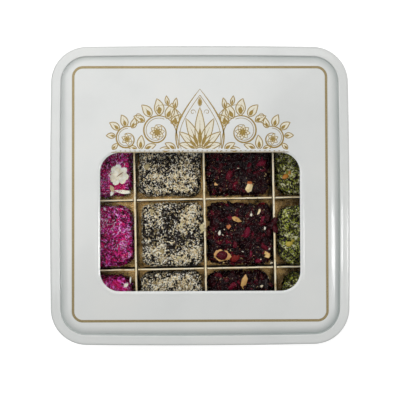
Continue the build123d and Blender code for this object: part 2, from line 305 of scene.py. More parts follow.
def printedInk(name, light, dark, metal, rough):
    # ink printed over the enamel and varnished: mottled over about 0.8 mm, where the print
    # takes unevenly
    made, place = newMaterial(name)
    mottle = addNode(made, "TexNoise", {"Scale": 1 / 0.0008, "Detail": 3.0, "Vector": place})
    tint = addNode(made, "ValToRGB", {"stops": [(0.3, dark), (0.7, light)], "Fac": mottle})
    bump = addNode(made, "Bump", {"Strength": 0.4, "Distance": 0.00001, "Height": mottle})
    look = {"Metallic": metal, "Roughness": rough, "Base Color": tint, "Normal": bump}
    shader = addNode(made, "BsdfPrincipled", look)
    addNode(made, "OutputMaterial", {"Surface": shader})
    return made


enamel = stovedEnamel()
lacquer = goldLacquer()
goldInk = printedInk("varnished_gold_ink", "a08435", "6f591e", metal=0.3, rough=0.34)
dullGoldInk = printedInk("varnished_dull_gold_ink", "978862", "7b6b45", metal=0.35, rough=0.34)
creamInk = printedInk("varnished_pale_cream_ink", "ece7d6", "e2dcc6", metal=0.0, rough=0.3)
sheet = lidShape["sheet"]


def pressedSheet(name, points, faces, body, slot, tones=None):
    # a plate from its middle surface: half its thickness goes to each side, with enamel on the
    # outer side and lacquer on the inner one
    piece = newPiece(name, points, faces, [enamel, lacquer], body, slot, smooth=50, tones=tones)
    solid = piece.modifiers.new("sheet", "SOLIDIFY")
    solid.thickness = sheet * millimetre
    solid.offset = 0
    solid.use_even_offset = True
    solid.material_offset = 1
    return piece


# the lid's section, along the middle of its sheet: rolled edge, skirt, band, groove and ramp
skirtX = lidShape["half"] - sheet / 2
skirtFoot = lidShape["top"] - lidShape["depth"] + sheet / 2
lidRoll = lidShape["curl"] - sheet
panelLine = lidShape["top"] - sheet / 2
bandLine = panelLine - lidShape["bandDrop"]
stepX = skirtX - lidShape["bandWidth"]
grooveX = stepX - lidShape["grooveLean"]
grooveLine = bandLine - lidShape["grooveDepth"]
rampX = grooveX - (panelLine - grooveLine) / math.tan(math.radians(lidShape["rampAngle"]))
lidBends = ("shoulderRadius", "crestRadius", "lipRadius", "grooveRadius", "rampRadius")
lidLine = roundedLine(
    [
        (skirtX + curlEnd * lidRoll, skirtFoot + lidRoll),
        (skirtX + lidRoll, skirtFoot + lidRoll),
        (skirtX + lidRoll, skirtFoot),
        (skirtX, skirtFoot),
        (skirtX, bandLine),
        (stepX + lidShape["crestWidth"], bandLine),
        (stepX, bandLine + lidShape["bandCrest"]),
        (grooveX, grooveLine),
        (rampX, panelLine),
        (rampX - lidShape["panelSeat"], panelLine),
    ],
    [curlBend * lidRoll] * 3 + [lidShape[name] for name in lidBends],
    turnStep=10.0,
)


def windowRing(margin):
    # the window's outline, moved outwards by the margin
    width, length = lidShape["windowWidth"] + 2 * margin, lidShape["windowLength"] + 2 * margin
    return roundedRing(width, length, lidShape["windowRadius"] + margin, (0, lidShape["windowY"]))


# the hem: the panel bows up as exp(-q^2), rolls down to the edge and is folded back under itself
hemRound = (lidShape["hemGap"] + sheet) / 2  # middle line of the fold
hemIn = hemRound + sheet / 2
hemMargins = np.linspace(lidShape["hemWidth"], hemIn, 14)
crestPart = (hemMargins - lidShape["hemCrestPlace"]) / lidShape["hemCrestReach"]
hemCrest = lidShape["hemCrest"] * np.exp(-(crestPart**2))
hemRoll = lidShape["hemRoll"] * np.clip(1 - hemMargins / lidShape["hemRollWidth"], 0, None) ** 1.6
hemTop = panelLine - hemRoll[-1]
foldRound = (hemTop - panelLine + 2 * hemRound) / 2
hemTurn = np.linspace(0, math.pi, 9)
hemLine = np.vstack(
    [
        [(lidShape["hemWidth"] + lidShape["hemLap"], panelLine)],
        np.stack([hemMargins, panelLine + hemCrest - hemRoll], -1)[:-1],
        np.stack([hemIn - hemRound * np.sin(hemTurn), hemTop - foldRound * (1 - np.cos(hemTurn))], -1),
        [(lidShape["hemWidth"], panelLine - 2 * hemRound)],
    ]
)
lidRings = bowedRings(lidLine)
panelEdge, hemEdge = lidRings[-1], windowRing(hemLine[0, 0])
panelShares = np.linspace(0, 1, 7)[1:-1]
lidRings += [panelEdge * (1 - share) + hemEdge * share for share in panelShares]
lidRings += [windowRing(margin) for margin in hemLine[:, 0]]
lidHeights = np.concatenate([lidLine[:, 1], np.full(len(panelShares), panelLine), hemLine[:, 1]])

# painted shade on the enamel in the groove, fading up the ramp and darker towards the front
# right, and painted dark reflection round the shoulder's bend, darker towards the front left
lidPaintedShade = {"groove": 0.7, "grooveSlant": 0.2, "shoulder": 0.6, "shoulderSlant": 0.25, "fade": 0.7}
lidPlaces = np.concatenate([lidLine[:, 0], np.zeros(len(lidRings) - len(lidLine))])
inGroove = (lidPlaces < stepX) & (lidPlaces > 0)
sunk = np.clip((panelLine - lidHeights) / (panelLine - grooveLine), 0, 1)
groovePaintedShade = sunk ** lidPaintedShade["fade"] * inGroove
bendFoot = bandLine - lidShape["shoulderRadius"] + 0.1
shoulderPaintedReflection = (lidPlaces > skirtX - 0.5) & (lidHeights > bendFoot)
ringX, ringY = unit(lidRings[0]).T
grooveShadeSlant = lidPaintedShade["groove"] + lidPaintedShade["grooveSlant"] * (ringX - ringY)
shoulderReflectionSlant = lidPaintedShade["shoulder"] - lidPaintedShade["shoulderSlant"] * (ringX + ringY)
paintedShadeTones = groovePaintedShade[:, None] * grooveShadeSlant + shoulderPaintedReflection[:, None] * shoulderReflectionSlant
lidMetal = pressedSheet(
    "lid_metal", liftedRings(lidRings, lidHeights), [ringFaces(len(lidRings), ringCount)],
    "lid", "white_enamel", paintedShadeTones.ravel(),
)
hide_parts("lid_shell")
print("lid shell made")

# the tin: wall with its hook and rolled mouth, bottom plate and double seam
tinShape = {
    "play": 0.35,
    "seatGap": 0.3,
    "mouthCurl": 2.2,
    "floorHeight": 3.3,
    "floorBend": 0.6,
    "floorSeat": 4.5,
    "seamHeight": 2.7,
    "seamBend": 0.3,
    "plyGap": 0.08,
    "hookClearance": 0.2,
    "sideSeamWidth": 5.0,
    "sideSeamFoot": 4.0,
    "sideSeamTop": 39.9,
    "sideSeamEdge": 0.15,  # half its thickness at its edges and along its middle
    "sideSeamProud": 0.42,
    "sideSeamBevel": 0.35,
    "sideSeamPress": 0.4,  # its ends are pressed flatter over this height
}
wallHalf = lidShape["half"] - sheet - tinShape["play"] - sheet / 2
wallTop = lidShape["top"] - lidShape["bandDrop"] - sheet - tinShape["seatGap"]
ply = sheet + tinShape["plyGap"]
coverFoot = sheet / 2
hookFoot = coverFoot + ply
coverTop = tinShape["seamHeight"] - sheet / 2
mouthRoll = tinShape["mouthCurl"] - sheet
mouthLine = wallTop - sheet / 2
wallLine = roundedLine(
    [
        (wallHalf + 2 * ply, coverTop - sheet - tinShape["hookClearance"]),
        (wallHalf + 2 * ply, hookFoot),
        (wallHalf, hookFoot),
        (wallHalf, mouthLine),
        (wallHalf - mouthRoll, mouthLine),
        (wallHalf - mouthRoll, mouthLine - mouthRoll),
        (wallHalf - curlEnd * mouthRoll, mouthLine - mouthRoll),
    ],
    [tinShape["seamBend"]] * 2 + [curlBend * mouthRoll] * 3,
    turnStep=15.0,
)
wallPoints = liftedRings(bowedRings(wallLine), wallLine[:, 1])
wallFaces = [ringFaces(len(wallLine), ringCount)]
tinWall = pressedSheet("tin_side", wallPoints, wallFaces, "tin", "tin_enamel")
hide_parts("tin_wall")

plateLine = tinShape["floorHeight"] - sheet / 2
bottomLine = roundedLine(
    [
        (wallHalf - ply - tinShape["floorSeat"], plateLine),
        (wallHalf - ply, plateLine),
        (wallHalf - ply, coverFoot),
        (wallHalf + 3 * ply, coverFoot),
        (wallHalf + 3 * ply, coverTop),
        (wallHalf + ply, coverTop),
        (wallHalf + ply, hookFoot + sheet + tinShape["hookClearance"]),
    ],
    [tinShape["floorBend"]] + [tinShape["seamBend"]] * 4,
    turnStep=15.0,
)
bottomRings = bowedRings(bottomLine)
plateRings = [bottomRings[0] * share for share in (0.04, 0.3, 0.6, 0.85, 0.93)]
bottomHeights = np.concatenate([np.full(len(plateRings), plateLine), bottomLine[:, 1]])
bottomPoints = liftedRings(plateRings + bottomRings, bottomHeights)
firstRing = np.arange(ringCount)
hub = np.stack([np.roll(firstRing, -1), firstRing, np.full(ringCount, len(bottomPoints))], -1)
bottomPoints = np.vstack([bottomPoints, [[0, 0, plateLine]]])
bottomFaces = [ringFaces(len(bottomHeights), ringCount), hub]
tinBottom = pressedSheet("tin_base", bottomPoints, bottomFaces, "tin", "tin_enamel")
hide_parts("tin_bottom")

# lock seam at the back: a flat fold along the wall, a little proud on both of its sides
seamHalf, seamInner = tinShape["sideSeamWidth"] / 2, tinShape["sideSeamWidth"] / 2 - tinShape["sideSeamBevel"]
edge, proud = tinShape["sideSeamEdge"], tinShape["sideSeamProud"]
seamSide = np.array([(-seamHalf, -edge), (-seamInner, -proud), (seamInner, -proud), (seamHalf, -edge)])
seamSection = np.vstack([seamSide, -seamSide])
press = tinShape["sideSeamPress"]
seamHeights = [tinShape["sideSeamFoot"] + lift for lift in (0.0, press)]
seamHeights += [tinShape["sideSeamTop"] - drop for drop in (press, 0.0)]
seamRings = [seamSection * scale + [0, wallHalf] for scale in (0.93, 1.0, 1.0, 0.93)]
seamCorners = np.arange(len(seamSection))
seamTop = seamCorners[None] + 3 * len(seamSection)
newPiece(
    "tin_side_seam", liftedRings(seamRings, seamHeights),
    [ringFaces(4, len(seamSection)), seamCorners[::-1][None], seamTop], [lacquer, enamel],
    "tin", "tin_enamel", smooth=30, choice=np.concatenate([np.tile(seamSection[:, 1] > 0, 3), [0, 0]]),
)
print("tin made")

# gold print on the lid
goldPrint = {
    "squareHalf": 84.35,
    "squareRadius": 6.5,
    "squareY": 0.9,
    "squareWidth": 1.67,
    "ornamentY": 28.2,  # the window's edge, where the ornament stands
    "inkRoot": 0.01,  # the prisms reach down into the panel by this
    "inkHeight": 0.045,
    "fillHeight": 0.02,
    "heartLift": 0.021,  # hearts and dots stand over the lines by these
    "dotLift": 0.022,
    "fineLine": 0.4,
    "plainLine": 0.6,
    "boldLine": 1.05,
    "levelStep": 0.0007,  # inks that overlap lie at slightly different heights
    "levels": 29,
}


def inkLine(path, width, closed=False, height=goldPrint["inkHeight"]):
    # a strip of ink along a path: both edges half a width away along the path's normal,
    # its width tapering where an array is given, as a thin closed prism on the panel
    path = np.asarray(path, float)
    ahead = np.roll(path, -1, 0) - np.roll(path, 1, 0) if closed else np.gradient(path, axis=0)
    normal = unit(np.stack([-ahead[:, 1], ahead[:, 0]], -1)) * np.reshape(width, (-1, 1)) / 2
    low = np.full((len(path), 1), lidShape["top"] - goldPrint["inkRoot"])
    high = low + goldPrint["inkRoot"] + height
    left, right = path + normal, path - normal
    sides = ((left, low), (right, low), (right, high), (left, high))
    points = np.stack([np.hstack(side) for side in sides], 1).reshape(-1, 3)
    first = np.arange(4)
    last = first + (len(path) - 1) * 4
    ends = np.stack([first[::-1], last])
    if closed:
        ends = np.stack([last, np.roll(last, -1), np.roll(first, -1), first], -1)
    return points, [np.vstack([ringFaces(len(path), 4), ends])]


def inkPatch(outline, height):
    # a filled shape: fans from its middle to its outline, top and bottom, and a low wall
    outline = np.asarray(outline, float)
    count, root = len(outline), goldPrint["inkRoot"]
    low = np.full((count, 1), lidShape["top"] - root)
    middle = outline.mean(0)
    rings = np.vstack([np.hstack([outline, low]), np.hstack([outline, low + root + height])])
    hubs = [[*middle, lidShape["top"] - root], [*middle, lidShape["top"] + height]]
    here = np.arange(count)
    beside = np.roll(here, -1)
    bottom = np.stack([beside, here, np.full(count, 2 * count)], -1)
    top = np.stack([here + count, beside + count, np.full(count, 2 * count + 1)], -1)
    return np.vstack([rings, hubs]), [ringFaces(2, count), np.vstack([bottom, top])]


def leafEdge(base, heading, length, width, bend=0.0, fullest=0.42, steps=14):
    # a pointed leaf: its middle line turns evenly by bend, and its half width rises and
    # falls as sin(pi * t^k)^0.9, fullest at the given share of its length
    share = np.linspace(0, 1, steps)
    angle = np.radians(heading + bend * share)
    run = np.stack([np.sin(angle), np.cos(angle)], -1)
    gone = np.vstack([[0, 0], np.cumsum((run[1:] + run[:-1]) / 2, 0)])
    spine = np.asarray(base) + gone * (length / (steps - 1))
    power = math.log(0.5) / math.log(fullest)
    half = width / 2 * np.sin(math.pi * share**power) ** 0.9
    side = np.stack([run[:, 1], -run[:, 0]], -1) * half[:, None]
    return np.vstack([spine + side, (spine - side)[::-1][1:-1]]), spine


def spiralLine(centre, outer, inner, start, turns, steps=60):
    # a spiral whose radius falls from outer to inner as (1 - t)^1.2 while it turns
    share = np.linspace(0, 1, steps)
    radius = inner + (outer - inner) * (1 - share) ** 1.2
    angle = np.radians(start) + share * turns * 2 * math.pi
    return np.asarray(centre) + radius[:, None] * np.stack([np.cos(angle), np.sin(angle)], -1)


def bezier(points, steps=24):
    # a cubic curve: the four points weighted (1-t)^3, 3t(1-t)^2, 3t^2(1-t), t^3
    share = np.linspace(0, 1, steps)[:, None]
    rest = 1 - share
    weights = (rest**3, 3 * share * rest**2, 3 * share**2 * rest, share**3)
    return sum(weight * np.asarray(point) for weight, point in zip(weights, points))


goldParts, creamParts = [], []


def inkLevel(parts):
    # the next of the small heights that keep overlapping inks from sharing a face
    return len(parts) % goldPrint["levels"] * goldPrint["levelStep"]


def drawLine(path, line, closed=False, taper=False, both=True):
    # a gold line and, with both, its mirror image; a tapered one thins as a sine at its ends
    path, width = np.asarray(path, float), goldPrint[line]
    if taper:
        width = width * (0.25 + 0.75 * np.sin(np.linspace(0.12, 1, len(path)) * math.pi))
    for sign in (1, -1) if both else (1,):
        turned = path * [sign, 1]
        placed = (turned if sign > 0 else turned[::-1]) + [0, goldPrint["ornamentY"]]
        level = goldPrint["inkHeight"] + inkLevel(goldParts)
        strip = width if np.isscalar(width) or sign > 0 else width[::-1]
        goldParts.append(inkLine(placed, strip, closed, level))


def drawPatch(outline, parts, height, both=True):
    # a filled shape and its mirror image, each turned to run anticlockwise by its signed area
    for sign in (1, -1) if both else (1,):
        turned = np.asarray(outline) * [sign, 1]
        after = np.roll(turned, -1, 0)
        area = np.sum(turned[:, 0] * after[:, 1] - after[:, 0] * turned[:, 1])
        turned = turned if area > 0 else turned[::-1]
        placed = turned + [0, goldPrint["ornamentY"]]
        parts.append(inkPatch(placed, height + inkLevel(parts)))


def drawLeaf(base, heading, length, width, bend, heart, vein=True, line="plainLine", both=True):
    # an outlined leaf with a cream ground, a vein, and a filled heart near its foot, whose
    # size is given as a share of the leaf's
    edge, spine = leafEdge(base, heading, length, width, bend)
    drawPatch(edge, creamParts, goldPrint["fillHeight"], both)
    drawLine(edge, line, True, both=both)
    if vein:
        drawLine(spine[1:10], "fineLine", taper=True, both=both)
    size = (length * heart, width * heart * 0.95, bend * heart)
    small, _ = leafEdge(spine[1], heading + bend * 0.1, *size)
    drawPatch(small, goldParts, goldPrint["inkHeight"] + goldPrint["heartLift"], both)


def drawRosette(centre, radius, petals):
    # leaves all round, each 0.62 of its length in width, and a dot of 0.2 of their length
    for petal in range(petals):
        heading = petal * 360 / petals + 8
        drawLeaf(centre, heading, radius, radius * 0.62, 0, 0.5, vein=False, line="fineLine")
    around = np.linspace(0, 2 * math.pi, 16, endpoint=False)
    dot = np.asarray(centre) + radius * 0.2 * np.stack([np.cos(around), np.sin(around)], -1)
    drawPatch(dot, goldParts, goldPrint["inkHeight"] + goldPrint["dotLift"])


# ogee arch and palmette in the middle
archOuter = [(13.5, 0.4), (20.5, 14.0), (12.0, 27.0), (0.0, 42.5)]
archInner = [(11.6, 0.4), (17.6, 13.0), (10.2, 24.5), (0.0, 38.4)]
palmette = {"foot": 1.6, "across": 2.6, "up": 1.6}
palmetteLeaves = (  # heading, length, width, bend, heart
    (0, 27, 6.6, 0, 0.42), (19, 21.5, 6.0, 9, 0.4), (40, 16.5, 5.4, 16, 0.4), (63, 12.5, 4.6, 22, 0.4),
)
drawLine(bezier(archOuter), "boldLine", taper=True)
drawLine(bezier(archInner), "fineLine")
for heading, length, width, bend, heart in palmetteLeaves:
    out = math.radians(heading)
    place = (math.sin(out) * palmette["across"], palmette["foot"] + palmette["up"] * math.cos(out))
    drawLeaf(place, heading, length, width, bend, heart, both=heading > 0)
drawLeaf((0, 31.0), 0, 6.0, 2.6, 0, 0.8, vein=False, line="fineLine", both=False)
drawLine(spiralLine((4.7, 27.0), 2.0, 0.5, 200, -1.1, steps=24), "fineLine", taper=True)

# vines that roll outwards from the arch, each round a rosette
vines = (
    {
        "stem": [(14.0, 3.0), (14.5, 9.0), (15.5, 18.0), (20.4, 22.0)],
        "centre": (28.5, 14.0),
        "bold": (11.4, 4.6, 135, -1.15),  # outer and inner radius, start in degrees, turns
        "fine": (9.6, 5.0, 120, -0.75, 40),  # and the number of steps
        "rosette": ((28.5, 13.6), 5.0, 8),  # middle, radius, petals
        "reach": 10.8,  # from the centre to the leaves' feet
        "lean": 4,  # degrees by which a leaf turns back
        "heart": 0.46,
        "leaves": (  # angle, length, width, bend
            (-58, 8.5, 4.6, 30), (-34, 11.0, 6.0, 34), (-6, 11.5, 6.4, 34), (24, 10.0, 5.6, 34),
            (52, 8.0, 4.4, 30),
        ),
    },
    {
        "stem": [(37.2, 21.4), (41.0, 20.4), (43.0, 19.0), (45.6, 17.2)],
        "centre": (48.6, 9.2),
        "bold": (8.6, 3.5, 110, -1.15),
        "fine": (7.1, 3.9, 95, -0.7, 36),
        "rosette": ((48.6, 9.0), 3.7, 6),
        "reach": 8.0,
        "lean": 6,
        "heart": 0.48,
        "leaves": ((-24, 7.0, 4.0, 30), (8, 8.6, 4.8, 32), (42, 8.0, 4.4, 32), (78, 6.0, 3.6, 28)),
    },
)
for vine in vines:
    drawLine(bezier(vine["stem"]), "plainLine")
    drawLine(spiralLine(vine["centre"], *vine["bold"]), "boldLine", taper=True)
    drawLine(spiralLine(vine["centre"], *vine["fine"]), "fineLine")
for vine in vines:
    drawRosette(*vine["rosette"])
for vine in vines:
    x, y = vine["centre"]
    for angle, length, width, bend in vine["leaves"]:
        out = math.radians(angle)
        place = (x + vine["reach"] * math.sin(out), y + vine["reach"] * math.cos(out))
        drawLeaf(place, angle - vine["lean"], length, width, bend, vine["heart"])

# leaves and tendrils that fill the spandrels: x, y, heading, length, width, bend, heart
spandrelLeaves = (
    (15.6, 17.5, 14, 12.5, 5.4, -18, 0.45), (39.4, 2.2, 4, 9.5, 4.8, -16, 0.5),
    (16.6, 2.0, 46, 8.0, 4.2, 22, 0.5), (36.6, 2.2, -58, 8.0, 4.0, -18, 0.5),
    (20.0, 2.2, 84, 7.0, 3.0, 10, 0.5), (42.0, 2.2, 66, 6.4, 3.0, 16, 0.5),
    (58.2, 2.2, -34, 5.4, 3.0, -18, 0.5),
)
tendril = [(11.5, 24.0), (15.5, 30.0), (21.5, 33.0), (27.5, 31.4)]
tendrilLeaves = ((16.4, 29.4, 4, 7.2, 3.0, -22, 0.5), (21.0, 31.9, 22, 6.2, 2.7, -20, 0.5))
for x, y, *leaf in spandrelLeaves:
    drawLeaf((x, y), *leaf)
drawLine(bezier(tendril), "plainLine", taper=True)
drawLine(spiralLine((27.0, 29.0), 2.6, 0.7, 80, -1.2, steps=26), "fineLine")
for x, y, *leaf in tendrilLeaves:
    drawLeaf((x, y), *leaf)
drawLine(spiralLine((41.2, 24.4), 2.2, 0.6, 200, -1.1, steps=24), "fineLine", taper=True)

# beads and a line along the window
beads = {"first": 1.6, "last": 58.5, "step": 3.2, "level": 1.3, "across": 0.6, "tall": 0.42}
windowLine = {"reach": 59.5, "level": 0.32}
beadAngle = np.linspace(0, 2 * math.pi, 10, endpoint=False)
for place in np.arange(beads["first"], beads["last"], beads["step"]):
    beadX = place + beads["across"] * np.cos(beadAngle)
    beadY = beads["level"] + beads["tall"] * np.sin(beadAngle)
    drawPatch(np.stack([beadX, beadY], -1), goldParts, goldPrint["inkHeight"])
windowPath = [(share * windowLine["reach"], windowLine["level"]) for share in (-1, 0, 1)]
drawLine(windowPath, "fineLine", both=False)

squareSize = 2 * goldPrint["squareHalf"]
square = roundedRing(squareSize, squareSize, goldPrint["squareRadius"], (0, goldPrint["squareY"]))
squareParts = [inkLine(square, goldPrint["squareWidth"], True)]
for name, parts, made in (
    ("gold_line", squareParts, dullGoldInk),
    ("gold_ornament", goldParts, goldInk),
    ("ornament_ground", creamParts, creamInk),
):
    newPiece(name, *joined(parts), [made], "lid", "white_enamel", smooth=30)
print("gold print drawn:", len(goldParts) + len(creamParts), "parts")


def clearFilm():
    # polyester film, cast and stretched: clear from above, and its two faces return more light
    # at a glance, as 0.002 + 0.9 * (1 - cos)^5, the same on the side that looks down
    made, place = newMaterial("clear_polyester_film")
    wave = addNode(made, "TexNoise", {"Scale": 1 / 0.03, "Detail": 1.0, "Vector": place})
    bump = addNode(made, "Bump", {"Strength": 0.2, "Distance": 0.0002, "Height": wave})
    facing = addNode(made, "LayerWeight", {"Blend": 0.5, "Normal": bump}).outputs["Facing"]
    steep = addNode(made, "Math", {"operation": "POWER", 0: facing, 1: 5.0})
    edge = addNode(made, "Math", {"operation": "MULTIPLY_ADD", 0: steep, 1: 0.9, 2: 0.002})
    look = {"Base Color": linear("f4f7f7"), "Metallic": 1.0, "Roughness": 0.04}
    shader = addNode(made, "BsdfPrincipled", {**look, "Alpha": edge, "Normal": bump})
    addNode(made, "OutputMaterial", {"Surface": shader})
    return made


def clearGlue():
    # dispersion glue, rolled on and dried clear, with small trapped bubbles about 0.5 mm across
    made, place = newMaterial("dried_clear_glue")
    bubble = addNode(made, "TexVoronoi", {"Scale": 1 / 0.0005, "Vector": place})
    tint = addNode(made, "ValToRGB", {"stops": [(0.0, "f2f1ec"), (1.0, "d9d8cf")], "Fac": bubble})
    look = {"Roughness": 0.4, "Alpha": 0.5, "Base Color": tint}
    shader = addNode(made, "BsdfPrincipled", look)
    addNode(made, "OutputMaterial", {"Surface": shader})
    return made


def foilCard(name, deep, light):
    # grey board laminated with gold aluminium foil: satin, gently waved over about 8 mm, with
    # an embossed grain of 0.6 mm and fine rub marks
    made, place = newMaterial(name)
    wave = addNode(made, "TexNoise", {"Scale": 1 / 0.008, "Detail": 2.0, "Vector": place})
    grain = addNode(made, "TexNoise", {"Scale": 1 / 0.0006, "Detail": 2.0, "Vector": place})
    tint = addNode(made, "ValToRGB", {"stops": [(0.3, deep), (0.7, light)], "Fac": wave})
    gloss = addNode(made, "MapRange", {"To Min": 0.2, "To Max": 0.36, "Value": grain})
    heavy = addNode(made, "Bump", {"Strength": 1.0, "Distance": 0.00035, "Height": wave})
    emboss = {"Strength": 0.35, "Distance": 0.00002, "Height": grain, "Normal": heavy}
    look = {"Metallic": 0.97, "Base Color": tint, "Roughness": gloss}
    look["Normal"] = addNode(made, "Bump", emboss)
    shader = addNode(made, "BsdfPrincipled", look)
    addNode(made, "OutputMaterial", {"Surface": shader})
    return made


def cutBoard():
    # the board's cut edge: torn cream fibres, drawn 0.4 mm coarse so that they show
    made, place = newMaterial("cut_cream_board_edge")
    fibre = addNode(made, "TexNoise", {"Scale": 1 / 0.0004, "Detail": 3.0, "Vector": place})
    stain = addNode(made, "TexNoise", {"Scale": 1 / 0.006, "Detail": 2.0, "Vector": place})
    mottle = addNode(made, "Math", {"operation": "MULTIPLY_ADD", 0: fibre, 1: 0.5, 2: stain})
    stops = [(0.48, "cfae72"), (0.62, "f7e4b6"), (0.9, "fdf3d8")]
    tint = addNode(made, "ValToRGB", {"stops": stops, "Fac": mottle})
    bump = addNode(made, "Bump", {"Strength": 0.5, "Distance": 0.0001, "Height": fibre})
    shader = addNode(made, "BsdfPrincipled", {"Roughness": 0.8, "Base Color": tint, "Normal": bump})
    addNode(made, "OutputMaterial", {"Surface": shader})
    return made


# the foils' colours are darkened as painted shade: the base board's near-black end stands for shade in the
# gaps between the sweets, and the dividers' copy is darker all over, painted shade on their walls
foil = foilCard("gold_foil_base_board_with_painted_shade", "3c2c12", "c6a268")
dividerFoilPaintedShade = foilCard("gold_foil_divider_board_painted_shade", "4c401c", "685929")
cutEdge = cutBoard()
plainNodes = {"window_film": clearFilm(), "window_adhesive": clearGlue(), "base_card": foil}
for name, made in plainNodes.items():
    nodes[name].data.materials.clear()
    nodes[name].data.materials.append(made)

# the card insert: three long dividers slotted from below and three cross ones from above
insert = {
    "pitch": 47.4,
    "place": (3.0, -2.3),
    "turn": 0.9,
    "foot": 3.9,
    "length": 188.1,
    "endRadius": 2.5,
    "endMargin": 3.0,  # even steps keep this far from the ends
    "slotMargin": 0.2,  # and this far from the slots
    "step": 1.5,
    "jump": 0.001,  # half the run in which the edge jumps at a slot's side
    "bevel": 0.12,  # the cut edge's corners are worn by this
    "flat": 0.8,  # the share of the edge between them
    "wave": 0.16,  # how far the cut edge strays to each side
    "topWave": 0.08,  # and up and down
}
longCard = {"height": 26.0, "card": 1.2, "slotEdge": 13.05, "slotWidth": 1.6, "fromBelow": True}
crossCard = {"height": 25.5, "card": 1.0, "slotEdge": 12.45, "slotWidth": 2.6, "fromBelow": False}
dividerPlaces = (-insert["pitch"], 0.0, insert["pitch"])
insertTurn = math.radians(insert["turn"])
insertX = np.array([math.cos(insertTurn), math.sin(insertTurn)])
insertY = np.array([-math.sin(insertTurn), math.cos(insertTurn)])


def ripple(share, seed, waves=7):
    # a smooth stray line: sine waves of random length and phase, the longer ones larger
    draw = np.random.default_rng(seed)
    beats = draw.uniform(2, 26, waves)
    phases = draw.uniform(0, 2 * math.pi, waves)
    return np.sum(np.sin(share[:, None] * beats * 2 * math.pi + phases) / beats**0.5, -1) / 2.5


def slottedCard(name, middle, along, shape, seed):
    # a strip of card that stands on its long edge: at each step along it the foot and the top
    # are heights, which jump at the slots, and the cut edge strays sideways by the ripple
    reach, radius, fromBelow = insert["length"] / 2, insert["endRadius"], shape["fromBelow"]
    halfSlot, bevel, flat = shape["slotWidth"] / 2, insert["bevel"], insert["flat"]
    cuts = np.array(dividerPlaces)
    jumps = np.concatenate([cuts - halfSlot, cuts + halfSlot])
    ends = reach - radius * (1 - np.cos(np.linspace(0, math.pi / 2, 6)))
    plain = np.arange(-reach + insert["endMargin"], reach - insert["endMargin"], insert["step"])
    plain = plain[np.min(np.abs(plain[:, None] - jumps), 1) > insert["slotMargin"]]
    jumps = [jumps - insert["jump"], jumps + insert["jump"]]
    steps = np.unique(np.concatenate([plain, ends, -ends, *jumps]))
    beyond = np.clip(np.abs(steps) - (reach - radius), 0, None)
    drop = radius - np.sqrt(np.maximum(radius**2 - beyond**2, 0))
    inSlot = np.min(np.abs(steps[:, None] - cuts), 1) < halfSlot
    top = np.where(inSlot & (not fromBelow), shape["slotEdge"], shape["height"] - drop)
    foot = np.where(inSlot & fromBelow, shape["slotEdge"], 0.0)
    top = top + np.where(inSlot, 0, insert["topWave"] * ripple(steps / reach, seed + 50))
    worn = top - bevel
    across = np.array([-along[1], along[0]])
    rows = []
    for level, side in ((foot, -1), (foot, 1), (worn, 1), (top, flat), (top, -flat), (worn, -1)):
        stray = insert["wave"] * ripple(steps / reach, seed) * level / shape["height"]
        beside = (stray + side * shape["card"] / 2)[:, None] * across
        ground = middle + steps[:, None] * along + beside
        rows.append(np.concatenate([ground, (level + insert["foot"])[:, None]], -1))
    points = np.stack(rows, 1).reshape(-1, 3)
    faces = ringFaces(len(steps), 6)
    cut = np.isin(faces[:, 0] % 6, (0, 2, 3, 4)).astype(int)  # all but the two foiled sides
    caps = np.array([[5, 4, 3, 2, 1, 0], np.arange(6) + (len(steps) - 1) * 6])
    piece = newPiece(
        name + "_card", points, [faces, caps], [dividerFoilPaintedShade, cutEdge], "tin", "gold_foil_card", smooth=40,
        choice=np.concatenate([cut, [1, 1]]),
    )
    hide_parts(name)


insertPlace = np.array(insert["place"])
for number, place in enumerate(dividerPlaces, 1):
    middle = insertPlace + place * insertX
    slottedCard(f"long_divider_{number}", middle, insertY, longCard, 10 + number)
    middle = insertPlace - place * insertY
    slottedCard(f"cross_divider_{number}", middle, insertX, crossCard, 20 + number)
print("card insert made")


def jelly(name, deep, bright, rough, coat):
    # boiled starch jelly under its coating: dark where it is thick, sticky, lumpy over 2 mm
    made, place = newMaterial(name)
    lump = addNode(made, "TexNoise", {"Scale": 1 / 0.002, "Detail": 4.0, "Vector": place})
    tint = addNode(made, "ValToRGB", {"stops": [(0.35, deep), (0.7, bright)], "Fac": lump})
    bump = addNode(made, "Bump", {"Strength": 0.8, "Distance": 0.0003, "Height": lump})
    look = {"Roughness": rough, "Coat Weight": coat, "Coat Roughness": 0.2}
    look |= {"Specular IOR Level": 0.2, "Base Color": tint, "Normal": bump}
    shader = addNode(made, "BsdfPrincipled", look)
    addNode(made, "OutputMaterial", {"Surface": shader})
    return made


def strewn(name, stops, rough, grain, depth, coat=0.0, shine=0.5):
    # loose bits: each has its own tone from the mesh, mottled by a grain of the given size
    made, place = newMaterial(name)
    tone = addNode(made, "Attribute", {"attribute_name": "tone"}).outputs["Fac"]
    mottle = addNode(made, "TexNoise", {"Scale": 1 / grain, "Detail": 3.0, "Vector": place})
    spread = {"From Min": 0.3, "From Max": 0.7, "To Min": -0.07, "To Max": 0.07}
    shift = addNode(made, "MapRange", {**spread, "Value": mottle})
    mixed = addNode(made, "Math", {"operation": "ADD", 0: tone, 1: shift})
    tint = addNode(made, "ValToRGB", {"stops": stops, "Fac": mixed})
    bump = addNode(made, "Bump", {"Strength": 0.7, "Distance": depth, "Height": mottle})
    look = {"Roughness": rough, "Coat Weight": coat, "Coat Roughness": 0.15}
    look |= {"Specular IOR Level": shine, "Base Color": tint, "Normal": bump}
    shader = addNode(made, "BsdfPrincipled", look)
    addNode(made, "OutputMaterial", {"Surface": shader})
    return made


